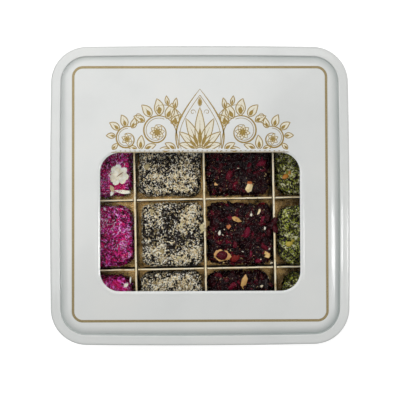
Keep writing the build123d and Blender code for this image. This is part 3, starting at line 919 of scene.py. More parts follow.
# dried rose petals, shredded and pressed on: crimson to violet, silky, veined over 0.3 mm
# the palest pink stops are partly pale petal and partly painted highlight
petalTones = [
    (0.0, "2c0018"), (0.16, "8a044c"), (0.38, "d21074"), (0.56, "e41c66"), (0.7, "e44cc8"),
    (0.86, "ff9cf0"), (1.0, "ffe6fb"),
]
petalBits = strewn("dried_rose_petals", petalTones, rough=0.45, grain=0.0003, depth=0.00005, shine=0.14)
# white rosebud petals, dried flat: cream, tan where they tore
creamTones = [(0.0, "7d5c38"), (0.3, "d2b48a"), (0.6, "fbf2da"), (0.85, "fffcee"), (1.0, "fffffa")]
creamPetals = strewn("dried_white_petals", creamTones, rough=0.6, grain=0.0006, depth=0.0001)
# black and white sesame with crushed hazelnut: matt seeds, oily skins
# the blue-grey stop at 0.44 is a painted glint on the black seeds
sesameTones = [
    (0.0, "0b0806"), (0.3, "221a15"), (0.44, "5c5458"), (0.53, "8c7752"), (0.64, "dac28c"),
    (0.8, "fbedc8"), (1.0, "fffcf0"),
]
sesameBits = strewn("sesame_and_crushed_nuts", sesameTones, 0.4, grain=0.0004, depth=0.00004, shine=0.14)
# roasted hazelnut pieces: cut faces pale tan, skins brown
nutTones = [(0.0, "5a452a"), (0.25, "8d7a4e"), (0.5, "b3a374"), (0.75, "dccf9f"), (1.0, "f4edd4")]
nutBits = strewn("roasted_hazelnut_pieces", nutTones, rough=0.55, grain=0.0008, depth=0.00008)
# nuts among the berries: orange-red skins, broken faces tan to white
skinTones = [(0.0, "7a2a10"), (0.25, "c2692c"), (0.5, "d4a15c"), (0.72, "f2d488"), (1.0, "fdf6e4")]
skinnedNuts = strewn("red_skinned_nut_pieces", skinTones, rough=0.4, grain=0.0009, depth=0.00008)
# dried barberries: wrinkled skins with a dull gloss, nearly black to blood red
berryTones = [
    (0.0, "0a0204"), (0.35, "22070b"), (0.6, "3f0c14"), (0.78, "640f22"), (0.9, "741232"),
    (1.0, "74200e"),
]
berryBits = strewn("dried_barberries", berryTones, 0.36, grain=0.0009, depth=0.00035, coat=0.03, shine=0.07)
# ground pistachio: bright green kernels, purple-brown skins, pale crumbs
pistachioTones = [
    (0.0, "120d0c"), (0.22, "33282a"), (0.35, "4e4c17"), (0.55, "8b8f2b"), (0.7, "b9c44e"),
    (0.84, "e0e08e"), (1.0, "fdf9da"),
]
pistachioBits = strewn("ground_pistachio", pistachioTones, 0.5, grain=0.0004, depth=0.00005, shine=0.2)
# whole pistachio kernels and their skins: yellow to orange
kernelTones = [(0.0, "a4521c"), (0.4, "cf8f2c"), (0.7, "d4b93c"), (1.0, "e2d36a")]
kernelBits = strewn("pistachio_kernels", kernelTones, rough=0.5, grain=0.0008, depth=0.0001)


def pebble(rings, sides):
    # a closed round shape of radius 1 with its poles on x: (sin p, cos p cos t, cos p sin t)
    rise = (np.arange(rings) + 1) / (rings + 1) * math.pi - math.pi / 2
    around = np.arange(sides) / sides * 2 * math.pi
    rise, around = np.meshgrid(rise, around, indexing="ij")
    body = np.stack([np.sin(rise), np.cos(rise) * np.cos(around), np.cos(rise) * np.sin(around)], -1)
    points = np.vstack([[[-1, 0, 0]], body.reshape(-1, 3), [[1, 0, 0]]])
    first = 1 + np.arange(sides)
    last = first + (rings - 1) * sides
    left = np.stack([np.zeros(sides, int), np.roll(first, -1), first], -1)
    right = np.stack([np.full(sides, len(points) - 1), last, np.roll(last, -1)], -1)
    caps = np.vstack([left, right])
    return points, [caps] if rings == 1 else [caps, ringFaces(rings, sides) + 1]


def strewnBits(shape, places, ups, sizes, draw, tilt=0.3, roughen=0.12, curl=0.0, heading=None):
    # every bit is the shape, stretched to its size and turned so that its own z follows the
    # surface's normal, leaned by tilt, with a random spin unless it has a heading; curl lifts
    # its two ends
    points, faces = shape
    count = len(places)
    up = unit(ups + tilt * draw.standard_normal((count, 3)))
    along = draw.standard_normal((count, 3))
    if heading is not None:
        angle = np.radians(heading)
        along = np.stack([np.cos(angle), np.sin(angle), 0 * angle], -1)
    along = unit(along - np.sum(along * up, -1, keepdims=True) * up)
    across = np.cross(up, along)
    rough = 1 + roughen * draw.standard_normal((count, len(points), 1))
    x, y, z = np.moveaxis(points[None] * rough * sizes[:, None], -1, 0)
    z = z + curl * draw.uniform(-0.4, 1, (count, 1)) * x**2 / sizes[:, :1]
    turned = x[..., None] * along[:, None] + y[..., None] * across[:, None]
    turned = turned + z[..., None] * up[:, None] + places[:, None]
    shift = (np.arange(count) * len(points))[:, None, None]
    moved = [(part[None] + shift).reshape(-1, part.shape[1]) for part in faces]
    return turned.reshape(-1, 3), moved


def hills(places, size, seed, waves=9):
    # smooth hills from -1 to 1: a mean of sine waves of about the given length in all directions
    draw = np.random.default_rng(seed)
    directions = unit(draw.standard_normal((waves, 3))) * 2 * math.pi / size
    directions = directions * draw.uniform(0.6, 1.6, (waves, 1))
    phases = draw.uniform(0, 2 * math.pi, waves)
    return np.sin(places @ directions.T + phases).sum(-1) / math.sqrt(waves)


sweetRim = {
    "footDraw": 0.8,  # how far the side draws in at the foot
    "across": 3.8,  # the quarter ellipse between side and crown
    "tall": 3.2,
    "dome": 0.4,  # the crown's middle above its rim
    "leastRadius": 2.0,
    "hills": (9, 4),  # lengths of the stray hills, the second half as strong
}
blockSides, blockCorners = 13, 6
blockColumns = 4 * (blockSides + blockCorners)
climbShares = np.array([0, 0.04, 0.1, 0.22, 0.36, 0.5, 0.64, 0.78, 0.9])
# lumps of whole berries and mounds of ground nuts: x, y, length and width as shares of a cell,
# and the turn in degrees, as on the third row
berryLumps = (
    (-0.095, 0.179, 0.169, 0.105, 20), (0.179, 0.253, 0.148, 0.095, -30),
    (0.103, 0.013, 0.19, 0.105, 80), (-0.274, 0.021, 0.148, 0.105, 60),
    (-0.253, -0.264, 0.169, 0.148, 20), (-0.032, -0.264, 0.169, 0.116, -20),
    (0.295, -0.074, 0.169, 0.105, 35), (0.253, -0.285, 0.158, 0.105, -10),
    (-0.285, 0.285, 0.148, 0.105, -50),
)
nutMounds = (
    (0.2, 0.169, 0.359, 0.148, 60), (0.137, -0.295, 0.211, 0.148, 10),
    (-0.169, -0.243, 0.19, 0.169, 40), (-0.264, 0.264, 0.169, 0.148, 0),
    (-0.148, 0.074, 0.169, 0.105, 45), (0.327, -0.169, 0.148, 0.127, 80),
)


def sweetPlace(node, corner, turn):
    # the middle, width, length and height of a sweet, from its node's box: a rectangle with
    # rounded corners reaches (w/2 - r) cos t + (l/2 - r) sin t + r when it is turned by t
    low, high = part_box(node)
    low, high = np.array(low) / millimetre, np.array(high) / millimetre
    cosine, sine = abs(math.cos(turn)), abs(math.sin(turn))
    reach = (high - low)[:2] / 2 - corner
    half = np.linalg.solve([[cosine, sine], [sine, cosine]], reach) + corner
    middle = np.array([*((low + high)[:2] / 2), low[2]])
    return middle, 2 * half[0], 2 * half[1], high[2] - low[2]


def areaNormals(points, triangles):
    # each triangle's first corner, its two edges from there, and their cross product
    a, b, c = (points[triangles[:, i]] for i in range(3))
    return a, b - a, c - a, np.cross(b - a, c - a)


def cornerNormals(points, triangles):
    # each corner's normal is the sum of its triangles' area normals
    face = areaNormals(points, triangles)[-1]
    total = np.zeros_like(points)
    for i in range(3):
        np.add.at(total, triangles[:, i], face)
    return unit(total)


def lumpHeights(flat, turn, lumps, rise):
    # the highest dome over each place: rise * (1 - q)^0.6 on an ellipse, where q is the squared
    # distance from its middle, measured in its own half length and half width
    tallest = np.zeros(len(flat))
    for x, y, length, width, lean in lumps:
        angle = turn + math.radians(lean)
        cosine, sine = math.cos(turn), math.sin(turn)
        apart = flat / insert["pitch"] - [x * cosine - y * sine, x * sine + y * cosine]
        along = apart @ [math.cos(angle), math.sin(angle)] / (length / 2)
        across = apart @ [-math.sin(angle), math.cos(angle)] / (width / 2)
        dome = rise * np.clip(1 - along**2 - across**2, 0, None) ** 0.6
        tallest = np.maximum(tallest, dome)
    return tallest


def jellyBlock(flavour, shape, row, made):
    # rings of a rounded rectangle climb the side, go round a quarter ellipse at the rim and run
    # in over a low dome; the lumps lift the crown, and hills stray along the normals
    number = row + 1
    node = f"{flavour}_delight_{number}"
    turn = math.radians(shape["turns"][row] + insert["turn"])
    middle, width, length, height = sweetPlace(node, shape["corner"], turn)
    tall = height - shape["rise"] - shape["crownCoat"]
    shoulder = tall - sweetRim["tall"]
    climb = shoulder * climbShares
    bend = np.linspace(0, math.pi / 2, 8)
    shares = np.linspace(1, 0, 14)[1:-1]
    insets = [*(sweetRim["footDraw"] * np.exp(-climb)), *(sweetRim["across"] * (1 - np.cos(bend)))]
    rings = []
    for inset in insets:
        less, radius = 2 * (shape["coat"] + inset), max(shape["corner"] - inset, sweetRim["leastRadius"])
        ring = roundedRing(width - less, length - less, radius, (0, 0), blockSides, blockCorners)
        rings.append(ring)
    rings += [rings[-1] * share for share in shares]
    rim = shoulder + sweetRim["tall"] * np.sin(bend)
    levels = np.concatenate([climb, rim, tall + sweetRim["dome"] * (1 - shares**2)])
    cosine, sine = math.cos(turn), math.sin(turn)
    body = liftedRings(np.stack(rings) @ np.array([[cosine, sine], [-sine, cosine]]), levels)
    points = np.vstack([body, [[0, 0, 0], [0, 0, tall + sweetRim["dome"]]]])
    first = np.arange(blockColumns)
    last = first + (len(rings) - 1) * blockColumns
    foot = np.stack([np.roll(first, -1), first, np.full(blockColumns, len(body))], -1)
    crown = np.stack([last, np.roll(last, -1), np.full(blockColumns, len(body) + 1)], -1)
    quads = ringFaces(len(rings), blockColumns)
    triangles = np.vstack([quads[:, :3], quads[:, [0, 2, 3]], foot, crown])
    normals = cornerNormals(points, triangles)
    quarter = turn + (row - 2) * math.pi / 2
    lumps = lumpHeights(points[:, :2], quarter, shape["lumps"], shape["rise"])
    points[:, 2] += lumps * np.clip(normals[:, 2], 0, 1)
    strength = np.clip(points[:, 2] / tall, 0, 1)
    long, short = sweetRim["hills"]
    stray = hills(points + middle, long, shape["seed"] + row)
    stray = shape["stray"] * (stray + 0.5 * hills(points + middle, short, shape["seed"] + row + 5))
    points += normals * (stray * strength)[:, None] + middle
    faces = [quads, np.vstack([foot, crown])]
    core = newPiece(f"{flavour}_core_{number}", points, faces, [made], "tin", f"{flavour}_delight")
    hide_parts(node)
    return points, triangles


def surfacePlaces(points, triangles, count, draw, topShare):
    # random places on the triangles, by area, more of them where the surface looks upwards
    a, toB, toC, face = areaNormals(points, triangles)
    area = np.linalg.norm(face, axis=-1)
    rise = face[:, 2] / area
    weight = area * np.where(rise < -0.5, 0, 0.35 + topShare * np.clip(rise, 0, 1))
    chosen = draw.choice(len(triangles), count, p=weight / weight.sum())
    first, second = draw.random((2, count, 1))
    flip = first + second > 1
    first, second = np.where(flip, 1 - first, first), np.where(flip, 1 - second, second)
    places = a[chosen] + first * toB[chosen] + second * toC[chosen]
    ends = cornerNormals(points, triangles)[triangles[chosen]]
    ups = ends[:, 0] * (1 - first - second) + ends[:, 1] * first + ends[:, 2] * second
    return places, unit(ups)


def crownLevel(points, x, y):
    # the height of the core's nearest point on its crown
    upper = points[points[:, 2] > points[:, 2].max() - 6]
    return upper[np.argmin(np.hypot(upper[:, 0] - x, upper[:, 1] - y)), 2]


def near(places, spots):
    # how strongly each place lies in the given round spots: (x, y, radius, strength)
    total = np.zeros(len(places))
    for x, y, radius, strength in spots:
        apart = np.hypot(places[:, 0] - x, places[:, 1] - y) / radius
        total += strength * np.exp(-(apart**2) * 1.4)
    return total


def layBits(name, flavour, made, shape, bits, tones, smooth=80):
    # bits as one piece of the tin, each with its tone on all of its points
    tones = np.repeat(np.clip(tones, 0, 1), len(shape[0]))
    newPiece(name, *bits, [made], "tin", f"{flavour}_delight", smooth, tones)


shredShape, seedShape, chipShape = pebble(3, 4), pebble(2, 5), pebble(1, 4)
berryShape, nutShape = pebble(4, 8), pebble(3, 6)

roseSweets = {
    "corner": 8.0,
    "stray": 0.4,  # how far hills and hollows leave the even block
    "coat": 1.0,  # how far the coating stands out of the core's sides
    "crownCoat": 0.9,
    "rise": 0.0,  # how far lumps stand out of the crown
    "lumps": (),
    "turns": (2.0, -1.5, 1.0, -1.0),
    "seed": 31,
    "shreds": 4600,
    "broad": 0.15,  # the share of broad shreds
    "broadLength": (1.1, 1.9),  # half lengths, widths and heights, least and greatest
    "fineLength": (0.6, 1.5),
    "broadWidth": (0.5, 0.85),
    "fineWidth": (0.22, 0.42),
    "height": (0.08, 0.16),
    "crimson": [(-55.5, 6.4, 4.0, 1.0), (-57.0, -60.0, 6.0, 0.8)],  # x, y, radius, strength
    "crimsonTone": 0.58,
}
sesameSweets = {
    "corner": 5.0,
    "stray": 0.55,
    "coat": 0.9,
    "crownCoat": 0.7,
    "rise": 0.8,
    "lumps": nutMounds,
    "turns": (1.0, -1.0, 0.5, 1.0),
    "seed": 51,
    "seeds": 3700,
    "crumbs": 2000,
    "slivers": 420,
    "pale": 0.46,  # the share of pale bits away from the spots
    "paleLimits": (0.2, 0.88),
    "paleTones": (0.58, 1.08),
    "heap": 0.9,
}
barberrySweets = {
    "corner": 4.5,
    "stray": 0.5,
    "coat": 1.4,
    "crownCoat": 0.9,
    "rise": 1.9,
    "lumps": berryLumps,
    "turns": (-1.0, 0.5, -0.5, 0.5),
    "seed": 71,
    "berries": 620,
    "least": (1.7, 0.95, 0.6),  # half sizes of a berry
    "most": (3.4, 1.95, 1.1),
    # near-white crumbs: partly nut crumbs, partly painted glints
    "crumbs": 240,
    "crumbSizes": (0.12, 0.4),
    "crumbAndGlintLift": 1.2,
}
pistachioSweets = {
    "corner": 9.0,
    "stray": 0.35,
    "coat": 0.8,
    "crownCoat": 0.6,
    "rise": 0.0,
    "lumps": (),
    "turns": (-1.5, 1.5, 0.5, -2.0),
    "seed": 91,
    "chips": 4800,
    "dust": 5200,
    "rowLightShift": (-0.04, 0.08, -0.06, -0.04),  # tone shift of each row's kernels; row 2's is painted light
}
petalShape = {
    "rows": 9,
    "columns": 8,
    "rimWave": 0.09,
    "rimBeats": 9,
    "tipWave": 0.05,
    "tipBeats": 6,
    "sideLift": 0.9,
    "tipLift": 0.7,
    "crease": 0.12,
    "thickness": 0.18,
}


def cuppedPetal(middle, heading, length, width, level, cup, draw, tone, point=0.55):
    # a petal is a grid: its width swells and shrinks as sin(pi * t^1.2) to the power of point,
    # with a wavy rim, its sides lift as the square of the distance from its middle line, and
    # its tip curls
    rows, columns = petalShape["rows"], petalShape["columns"]
    share = np.linspace(0.02, 0.98, rows)[:, None]
    side = np.linspace(-1, 1, columns)[None]
    half = width / 2 * np.sin(math.pi * share**1.2) ** point
    rimTurn = side * petalShape["rimBeats"] + draw.uniform(0, 6)
    x = half * side * (1 + petalShape["rimWave"] * np.sin(rimTurn) * share)
    tipTurn = side * petalShape["tipBeats"] + draw.uniform(0, 6)
    y = length * share * (1 + petalShape["tipWave"] * np.cos(tipTurn))
    z = cup * (petalShape["sideLift"] * side**2 * share + petalShape["tipLift"] * share**2)
    z = z + petalShape["crease"] * np.sin(share * 9 + side * 4)
    cosine, sine = math.cos(math.radians(heading)), math.sin(math.radians(heading))
    flat = np.stack([x * cosine + y * sine, -x * sine + y * cosine], -1) + np.asarray(middle)
    upper = np.concatenate([flat, (z + level)[..., None]], -1).reshape(-1, 3)
    lower = upper - [0, 0, petalShape["thickness"]]
    grid = np.arange(rows * columns).reshape(rows, columns)
    quads = np.stack([grid[:-1, :-1], grid[:-1, 1:], grid[1:, 1:], grid[1:, :-1]], -1).reshape(-1, 4)
    border = np.concatenate([grid[0, :-1], grid[:-1, -1], grid[-1, :0:-1], grid[:0:-1, 0]])
    after = np.roll(border, -1)
    count = rows * columns
    wall = np.stack([after, border, border + count, after + count], -1)
    return np.vstack([upper, lower]), [np.vstack([quads, quads[:, ::-1] + count, wall])], tone


# the pressed white rosebud: for each ring its count of petals, length, width, cup and level
budRings = ((9, 7.2, 4.8, 0.9, 0.0), (8, 5.6, 3.9, 1.3, 0.4), (6, 3.8, 2.8, 1.6, 0.8))
budPlace = np.array([-55.7, 14.0])
budLift, tornLift = 1.7, 1.3  # over the core's crown
# a dark petal laid over the bud, painted shade of a crease between petals: x, y, heading, length, width, tone
budCreaseShade = (-56.8, 12.8, 55, 6.0, 0.7, 0.05)
# torn petals on the second and fourth rose sweets: x, y, heading, length, width, tone
tornPetals = {
    1: (
        (-61.4, 7.4, 152, 5.6, 2.8, 0.34), (-58.8, 4.4, 206, 5.2, 2.4, 0.9),
        (-59.2, 3.6, 98, 12.0, 2.6, 0.85), (-60.4, 1.6, 66, 6.2, 1.5, 0.6),
        (-54.8, 2.4, 84, 7.4, 1.6, 0.72), (-50.8, 3.6, 120, 3.2, 1.5, 0.5),
    ),
    3: ((-48.0, -60.4, 4, 5.2, 1.2, 0.9), (-52.4, -62.6, 48, 4.4, 2.4, 0.78)),
}


def rosebud(level, draw):
    # rings of petals round one place, each turned, shifted and sized a little at random, and a
    # dark petal over them as painted shade of a crease
    petals = []
    for count, length, width, cup, lift in budRings:
        for petal in range(count):
            heading = 360 / count * petal + 31 * lift + draw.uniform(-16, 16)
            base = budPlace + draw.uniform(-0.4, 0.4, 2)
            size = (length * draw.uniform(0.82, 1.12), width * draw.uniform(0.85, 1.1))
            height, tone = level + lift + draw.uniform(0, 0.25), draw.uniform(0.68, 1.0)
            petals.append(cuppedPetal(base, heading, *size, height, cup, draw, tone, point=0.42))
    x, y, heading, length, width, tone = budCreaseShade
    crease = cuppedPetal((x, y), heading, length, width, level + 2.3, 0.2, draw, tone)
    return [*petals, crease]


def roseSweet(row):
    draw = np.random.default_rng(100 + row)
    points, triangles = jellyBlock("rose", roseSweets, row, roseJelly)
    places, ups = surfacePlaces(points, triangles, roseSweets["shreds"], draw, topShare=1.6)
    count = len(places)
    broad = draw.random(count) < roseSweets["broad"]
    kinds = ("broadLength", "fineLength", "broadWidth", "fineWidth", "height")
    drawn = [draw.uniform(*roseSweets[kind], count) for kind in kinds]
    lengths, widths = np.where(broad, drawn[0], drawn[1]), np.where(broad, drawn[2], drawn[3])
    sizes = np.stack([lengths, widths, drawn[4]], -1)
    places += ups * draw.uniform(0.0, roseSweets["coat"], (count, 1))
    tones = np.clip(draw.beta(0.8, 1.0, count) + 0.08 * hills(places, 12, 7 + row), 0, 1)
    crimson = np.clip(near(places, roseSweets["crimson"]), 0, 1)
    tones = tones * (1 - crimson) + roseSweets["crimsonTone"] * crimson
    bits = strewnBits(shredShape, places, ups, sizes, draw, tilt=0.55, roughen=0.1, curl=0.25)
    layBits(f"rose_petals_{row + 1}", "rose", petalBits, shredShape, bits, tones)
    petals = rosebud(crownLevel(points, *budPlace) + budLift, draw) if row == 1 else []
    for x, y, heading, length, width, tone in tornPetals.get(row, ()):
        level = crownLevel(points, x, y) + tornLift
        petals.append(cuppedPetal((x, y), heading, length, width, level, 0.4, draw, tone, point=0.85))
    if petals:
        bits = joined([part[:2] for part in petals])
        tones = np.concatenate([np.full(len(part[0]), part[2]) for part in petals])
        newPiece(f"white_petals_{row + 1}", *bits, [creamPetals], "tin", "rose_delight", tones=tones)


def upwards(count):
    # one normal straight up for each of so many bits
    return np.tile([[0.0, 0.0, 1.0]], (count, 1))


def laidBits(shape, places, spots, draw, tilt, roughen):
    # single pieces at the places, each (heading, length, width, height, tone)
    sizes, ups = spots[:, 1:4] / 2, upwards(len(spots))
    bits = strewnBits(shape, places, ups, sizes, draw, tilt, roughen, heading=spots[:, 0])
    return bits, spots[:, 4]


def placedBits(shape, points, spots, draw, tilt=0.2, roughen=0.12, sink=0.2):
    # single listed pieces, each (x, y, heading, length, width, height, tone): they stand on
    # the core, sunk into it by a share of their height
    spots = np.array(spots, float)
    levels = [crownLevel(points, x, y) for x, y in spots[:, :2]]
    places = np.column_stack([spots[:, :2], levels + spots[:, 5] * (0.5 - sink)])
    return laidBits(shape, places, spots[:, 2:], draw, tilt, roughen)


def leaningBits(shape, spots, draw):
    # single pieces that lean on a divider, each (x, y, z, heading, length, width, height, tone)
    spots = np.array(spots, float)
    return laidBits(shape, spots[:, :3], spots[:, 3:], draw, tilt=0.1, roughen=0.08)


# where nuts lie thick on each sesame sweet, and where they are lacking: x, y, radius, strength
sesameSpots = (
    [(-30, 66, 6, 0.3), (-12, 60, 7, 0.3), (-22, 70, 6, -0.3)],
    [(-30, 14, 6, 0.3), (-13, 12, 8, 0.35), (-22, 6, 6, 0.2), (-26, 24, 8, -0.3)],
    [
        (-4, -10, 5, 0.45), (-8, -16, 5, 0.5), (-11.5, -23, 4.5, 0.5), (-11, -42, 6, 0.5),
        (-28, -40, 6, 0.4), (-1.5, -38, 5, 0.4), (-28, -17, 5, 0.35), (-16, -31, 7, -0.45),
        (-19, -15, 6, -0.35), (-33, -27, 5, -0.3), (-3, -26, 5, -0.35), (-5, -46, 4, -0.3),
        (-25, -23, 8, -0.3),
    ],
    [(-28, -62, 6, 0.4), (-10, -64, 7, 0.4), (-18, -58, 5, 0.3), (-20, -68, 6, -0.3)],
)
# pieces of hazelnut on each sesame sweet
sesameNuts = (
    [(-31, 71, 10, 4.4, 3.8, 1.8, 0.35), (-14, 66, 60, 3.6, 3.0, 1.6, 0.5)],
    [(-36.1, 19.6, 30, 5.0, 4.4, 1.8, 0.45), (-9, 4.5, 0, 3.4, 2.8, 1.5, 0.6)],
    [
        (-32.7, -11.3, 20, 5.2, 4.8, 1.9, 0.42), (-26.2, -38.8, 70, 5.2, 4.8, 1.9, 0.4),
        (-33.4, -6.6, 0, 4.6, 3.6, 1.5, 0.36), (-8.5, -33.0, 40, 3.4, 3.0, 1.4, 0.6),
        (-13.0, -20.5, 70, 4.2, 2.6, 1.5, 0.75), (-14.5, -42.0, 20, 4.0, 2.8, 1.5, 0.7),
        (-9.0, -9.0, 110, 3.4, 2.4, 1.2, 0.3),
    ],
    [(-31, -59.5, 0, 4.2, 3.4, 1.6, 0.4), (-12, -72, 50, 4.2, 3.2, 1.6, 0.5)],
)
leaningNuts = (
    (1.5, -21.6, 31.0, 80, 4.6, 3.2, 2.0, 0.7), (2.9, -23.6, 30.6, 20, 2.4, 1.6, 1.2, 0.8),
    (2.5, -19.4, 30.6, 120, 2.2, 1.3, 1.0, 0.9), (1.2, -24.6, 30.8, 50, 2.6, 1.8, 1.4, 0.6),
)
# each kind's name, shape, least and greatest half sizes, and tilt
sesameKinds = (
    ("seeds", seedShape, (0.65, 0.34, 0.22), (1.3, 0.58, 0.4), 0.6),
    ("crumbs", chipShape, (0.3, 0.24, 0.2), (0.65, 0.5, 0.4), 0.8),
    ("slivers", seedShape, (0.8, 0.2, 0.16), (1.7, 0.34, 0.28), 0.35),
)


def sesameSweet(row):
    draw = np.random.default_rng(200 + row)
    points, triangles = jellyBlock("sesame", sesameSweets, row, sesameJelly)
    for part, shape, low, high, tilt in sesameKinds:
        places, ups = surfacePlaces(points, triangles, sesameSweets[part], draw, topShare=1.8)
        count, upright = len(places), np.clip(ups[:, 2], 0, 1)
        heap = sesameSweets["heap"] * np.clip(hills(places, 3.5, 63 + row), 0, 1.3) * upright
        places += ups * draw.uniform(0.0, sesameSweets["coat"] - 0.1, (count, 1))
        places[:, 2] += heap
        sizes = draw.uniform(low, high, (count, 3))
        chance = sesameSweets["pale"] + 1.4 * near(places, sesameSpots[row])
        chance = np.clip(chance + 0.2 * hills(places, 7, 17 + row), *sesameSweets["paleLimits"])
        pale = draw.random(count) < chance
        paleTones = draw.uniform(*sesameSweets["paleTones"], count)
        tones = np.where(pale, paleTones, 0.5 * draw.beta(1.0, 1.8, count))
        tones = tones + 0.08 * hills(places, 5, 77 + row)
        bits = strewnBits(shape, places, ups, sizes, draw, tilt, roughen=0.1)
        layBits(f"sesame_{part}_{row + 1}", "sesame", sesameBits, shape, bits, tones)
    bits, tones = placedBits(nutShape, points, sesameNuts[row], draw, tilt=0.12)
    layBits(f"sesame_nuts_{row + 1}", "sesame", nutBits, nutShape, bits, tones, smooth=35)
    if row == 2:
        bits, tones = leaningBits(nutShape, leaningNuts, draw)
        layBits("leaning_nuts_3", "sesame", nutBits, nutShape, bits, tones, smooth=35)


# pieces of nut on each barberry sweet; the third's small white chips are partly nut, partly painted glints
barberryNuts = (
    [(22, 68, 20, 6, 3.4, 2.0, 0.6), (40, 62, 70, 5, 3, 1.8, 0.8)],
    [
        (34.0, 5.6, 70, 7.4, 5.2, 2.4, 0.78), (34.4, 8.6, 10, 4.4, 2.6, 2.0, 0.2),
        (10.9, 8.0, 0, 3.2, 2.6, 1.6, 0.5), (26, 18, 30, 2.4, 1.8, 1.2, 0.9),
        (45, 14, 80, 2.6, 2.0, 1.4, 0.7),
    ],
    [
        (24.6, -16.3, -20, 7.2, 3.6, 2.0, 0.52), (19.4, -20.8, 40, 4.0, 3.4, 1.8, 0.28),
        (13.3, -25.6, 80, 2.8, 2.4, 1.6, 1.0), (11.2, -24.4, 20, 1.6, 1.0, 0.9, 1.0),
        (15.6, -27.0, 130, 1.6, 0.9, 0.9, 0.95), (16.4, -23.6, 50, 1.5, 0.9, 0.8, 0.9),
        (40.4, -11.0, 60, 4.6, 2.0, 1.6, 0.82), (35.1, -13.3, 90, 2.4, 2.0, 1.4, 1.0),
        (44.7, -22.1, 80, 3.0, 1.3, 1.2, 1.0), (48.0, -35.6, 75, 4.8, 1.8, 1.4, 0.98),
        (45.8, -41.0, -20, 5.8, 3.8, 2.2, 0.6), (49.0, -46.4, 30, 2.4, 1.4, 1.2, 0.95),
        (11.0, -39.4, 62, 5.4, 1.7, 1.5, 0.8), (19.8, -37.4, -38, 4.6, 2.0, 1.5, 0.78),
        (17.0, -45.4, 15, 4.2, 2.2, 1.6, 0.74), (23.0, -26.0, 0, 1.4, 1.2, 1.0, 1.0),
        (38.4, -28.6, 0, 1.5, 1.2, 1.0, 0.9), (29.0, -38.6, 0, 1.4, 1.2, 1.0, 1.0),
        (25.6, -31.0, 60, 1.5, 1.0, 1.0, 0.95), (41.6, -43.8, 10, 1.3, 1.0, 0.8, 0.9),
        (31.0, -46.6, 10, 1.2, 1.0, 0.8, 0.95), (45.4, -28.4, 10, 1.3, 1.0, 0.8, 0.9),
    ],
    [
        (30.2, -58.9, 85, 9.2, 5.2, 1.8, 0.52), (14.0, -57.0, 0, 2.6, 2.0, 1.4, 0.9),
        (42.0, -62.0, 30, 2.4, 1.8, 1.2, 0.9),
    ],
)
# rings of nut round a single berry of the third sweet, and the berries that show best on each
nutRings = [(15.1, -40.8, -8, 11.8, 7.6, 1.6, 0.45), (15.1, -41.0, 35, 9.0, 7.8, 1.7, 0.55)]
showBerries = (
    [(30, 70, 20, 7.0, 4.0, 2.6, 0.8)],
    [(20, 14, 70, 7.4, 4.4, 2.6, 0.75), (42, 22, 20, 6.8, 4.2, 2.6, 0.82)],
    [
        (32.2, -25.4, 78, 8.4, 4.2, 2.6, 0.82), (15.0, -40.9, 10, 8.2, 6.4, 4.2, 0.66),
        (23.8, -42.7, 30, 7.0, 5.6, 2.8, 0.98), (40.0, -44.8, 15, 5.6, 3.2, 2.2, 0.84),
        (21.6, -15.8, 160, 5.6, 3.2, 2.4, 0.8), (27.4, -20.0, 120, 5.0, 3.0, 2.2, 0.55),
        (44.4, -35.4, 150, 6.0, 3.4, 2.4, 0.74), (24.0, -33.4, 80, 6.4, 3.2, 2.4, 0.72),
        (46.4, -15.6, 100, 6.0, 3.6, 2.6, 0.5), (47.2, -25.2, 70, 6.0, 3.6, 2.8, 0.58),
    ],
    [(22, -62, 40, 6.8, 4.2, 2.6, 0.8)],
)
leaningBerries = (
    (50.4, -18.0, 31.2, 70, 7.0, 4.2, 2.4, 0.5), (50.8, -22.6, 31.3, 115, 6.6, 4.0, 2.4, 0.6),
    (48.2, -20.4, 31.6, 20, 5.6, 3.6, 2.6, 0.4),
)


def barberrySweet(row):
    draw = np.random.default_rng(300 + row)
    points, triangles = jellyBlock("barberry", barberrySweets, row, barberryJelly)
    places, ups = surfacePlaces(points, triangles, barberrySweets["berries"], draw, topShare=1.5)
    places += ups * draw.uniform(-0.3, 0.6, (len(places), 1))
    sizes = draw.uniform(barberrySweets["least"], barberrySweets["most"], (len(places), 3))
    tones = draw.beta(1.2, 2.8, len(places)) + 0.1 * hills(places, 12, 37 + row)
    bits = strewnBits(berryShape, places, ups, sizes, draw, tilt=0.45, roughen=0.16, curl=0.15)
    layBits(f"barberries_{row + 1}", "barberry", berryBits, berryShape, bits, tones)
    draw = np.random.default_rng(350 + row)
    bits, tones = placedBits(berryShape, points, showBerries[row], draw, tilt=0.08, roughen=0.07, sink=0.0)
    layBits(f"large_barberries_{row + 1}", "barberry", berryBits, berryShape, bits, tones)
    if row == 2:
        bits, tones = placedBits(berryShape, points, nutRings, draw, tilt=0.03, roughen=0.05, sink=-0.2)
        layBits("barberry_nut_rings_3", "barberry", skinnedNuts, berryShape, bits, tones, smooth=35)
        bits, tones = leaningBits(berryShape, leaningBerries, draw)
        layBits("leaning_barberries_3", "barberry", berryBits, berryShape, bits, tones)
    bits, tones = placedBits(seedShape, points, barberryNuts[row], draw, tilt=0.2, roughen=0.2, sink=-0.3)
    layBits(f"barberry_nuts_{row + 1}", "barberry", skinnedNuts, seedShape, bits, tones, smooth=25)
    # crumbs lifted over the berries: partly nut crumbs, partly painted glints
    places, ups = surfacePlaces(points, triangles, barberrySweets["crumbs"], draw, topShare=2.0)
    places += ups * barberrySweets["crumbAndGlintLift"]
    sizes = draw.uniform(*barberrySweets["crumbSizes"], (len(places), 3))
    bits = strewnBits(chipShape, places, ups, sizes, draw, tilt=0.5, roughen=0.2)
    tones = draw.uniform(0.4, 1.0, len(places))
    layBits(f"barberry_crumbs_and_glints_{row + 1}", "barberry", skinnedNuts, chipShape, bits, tones, smooth=0)


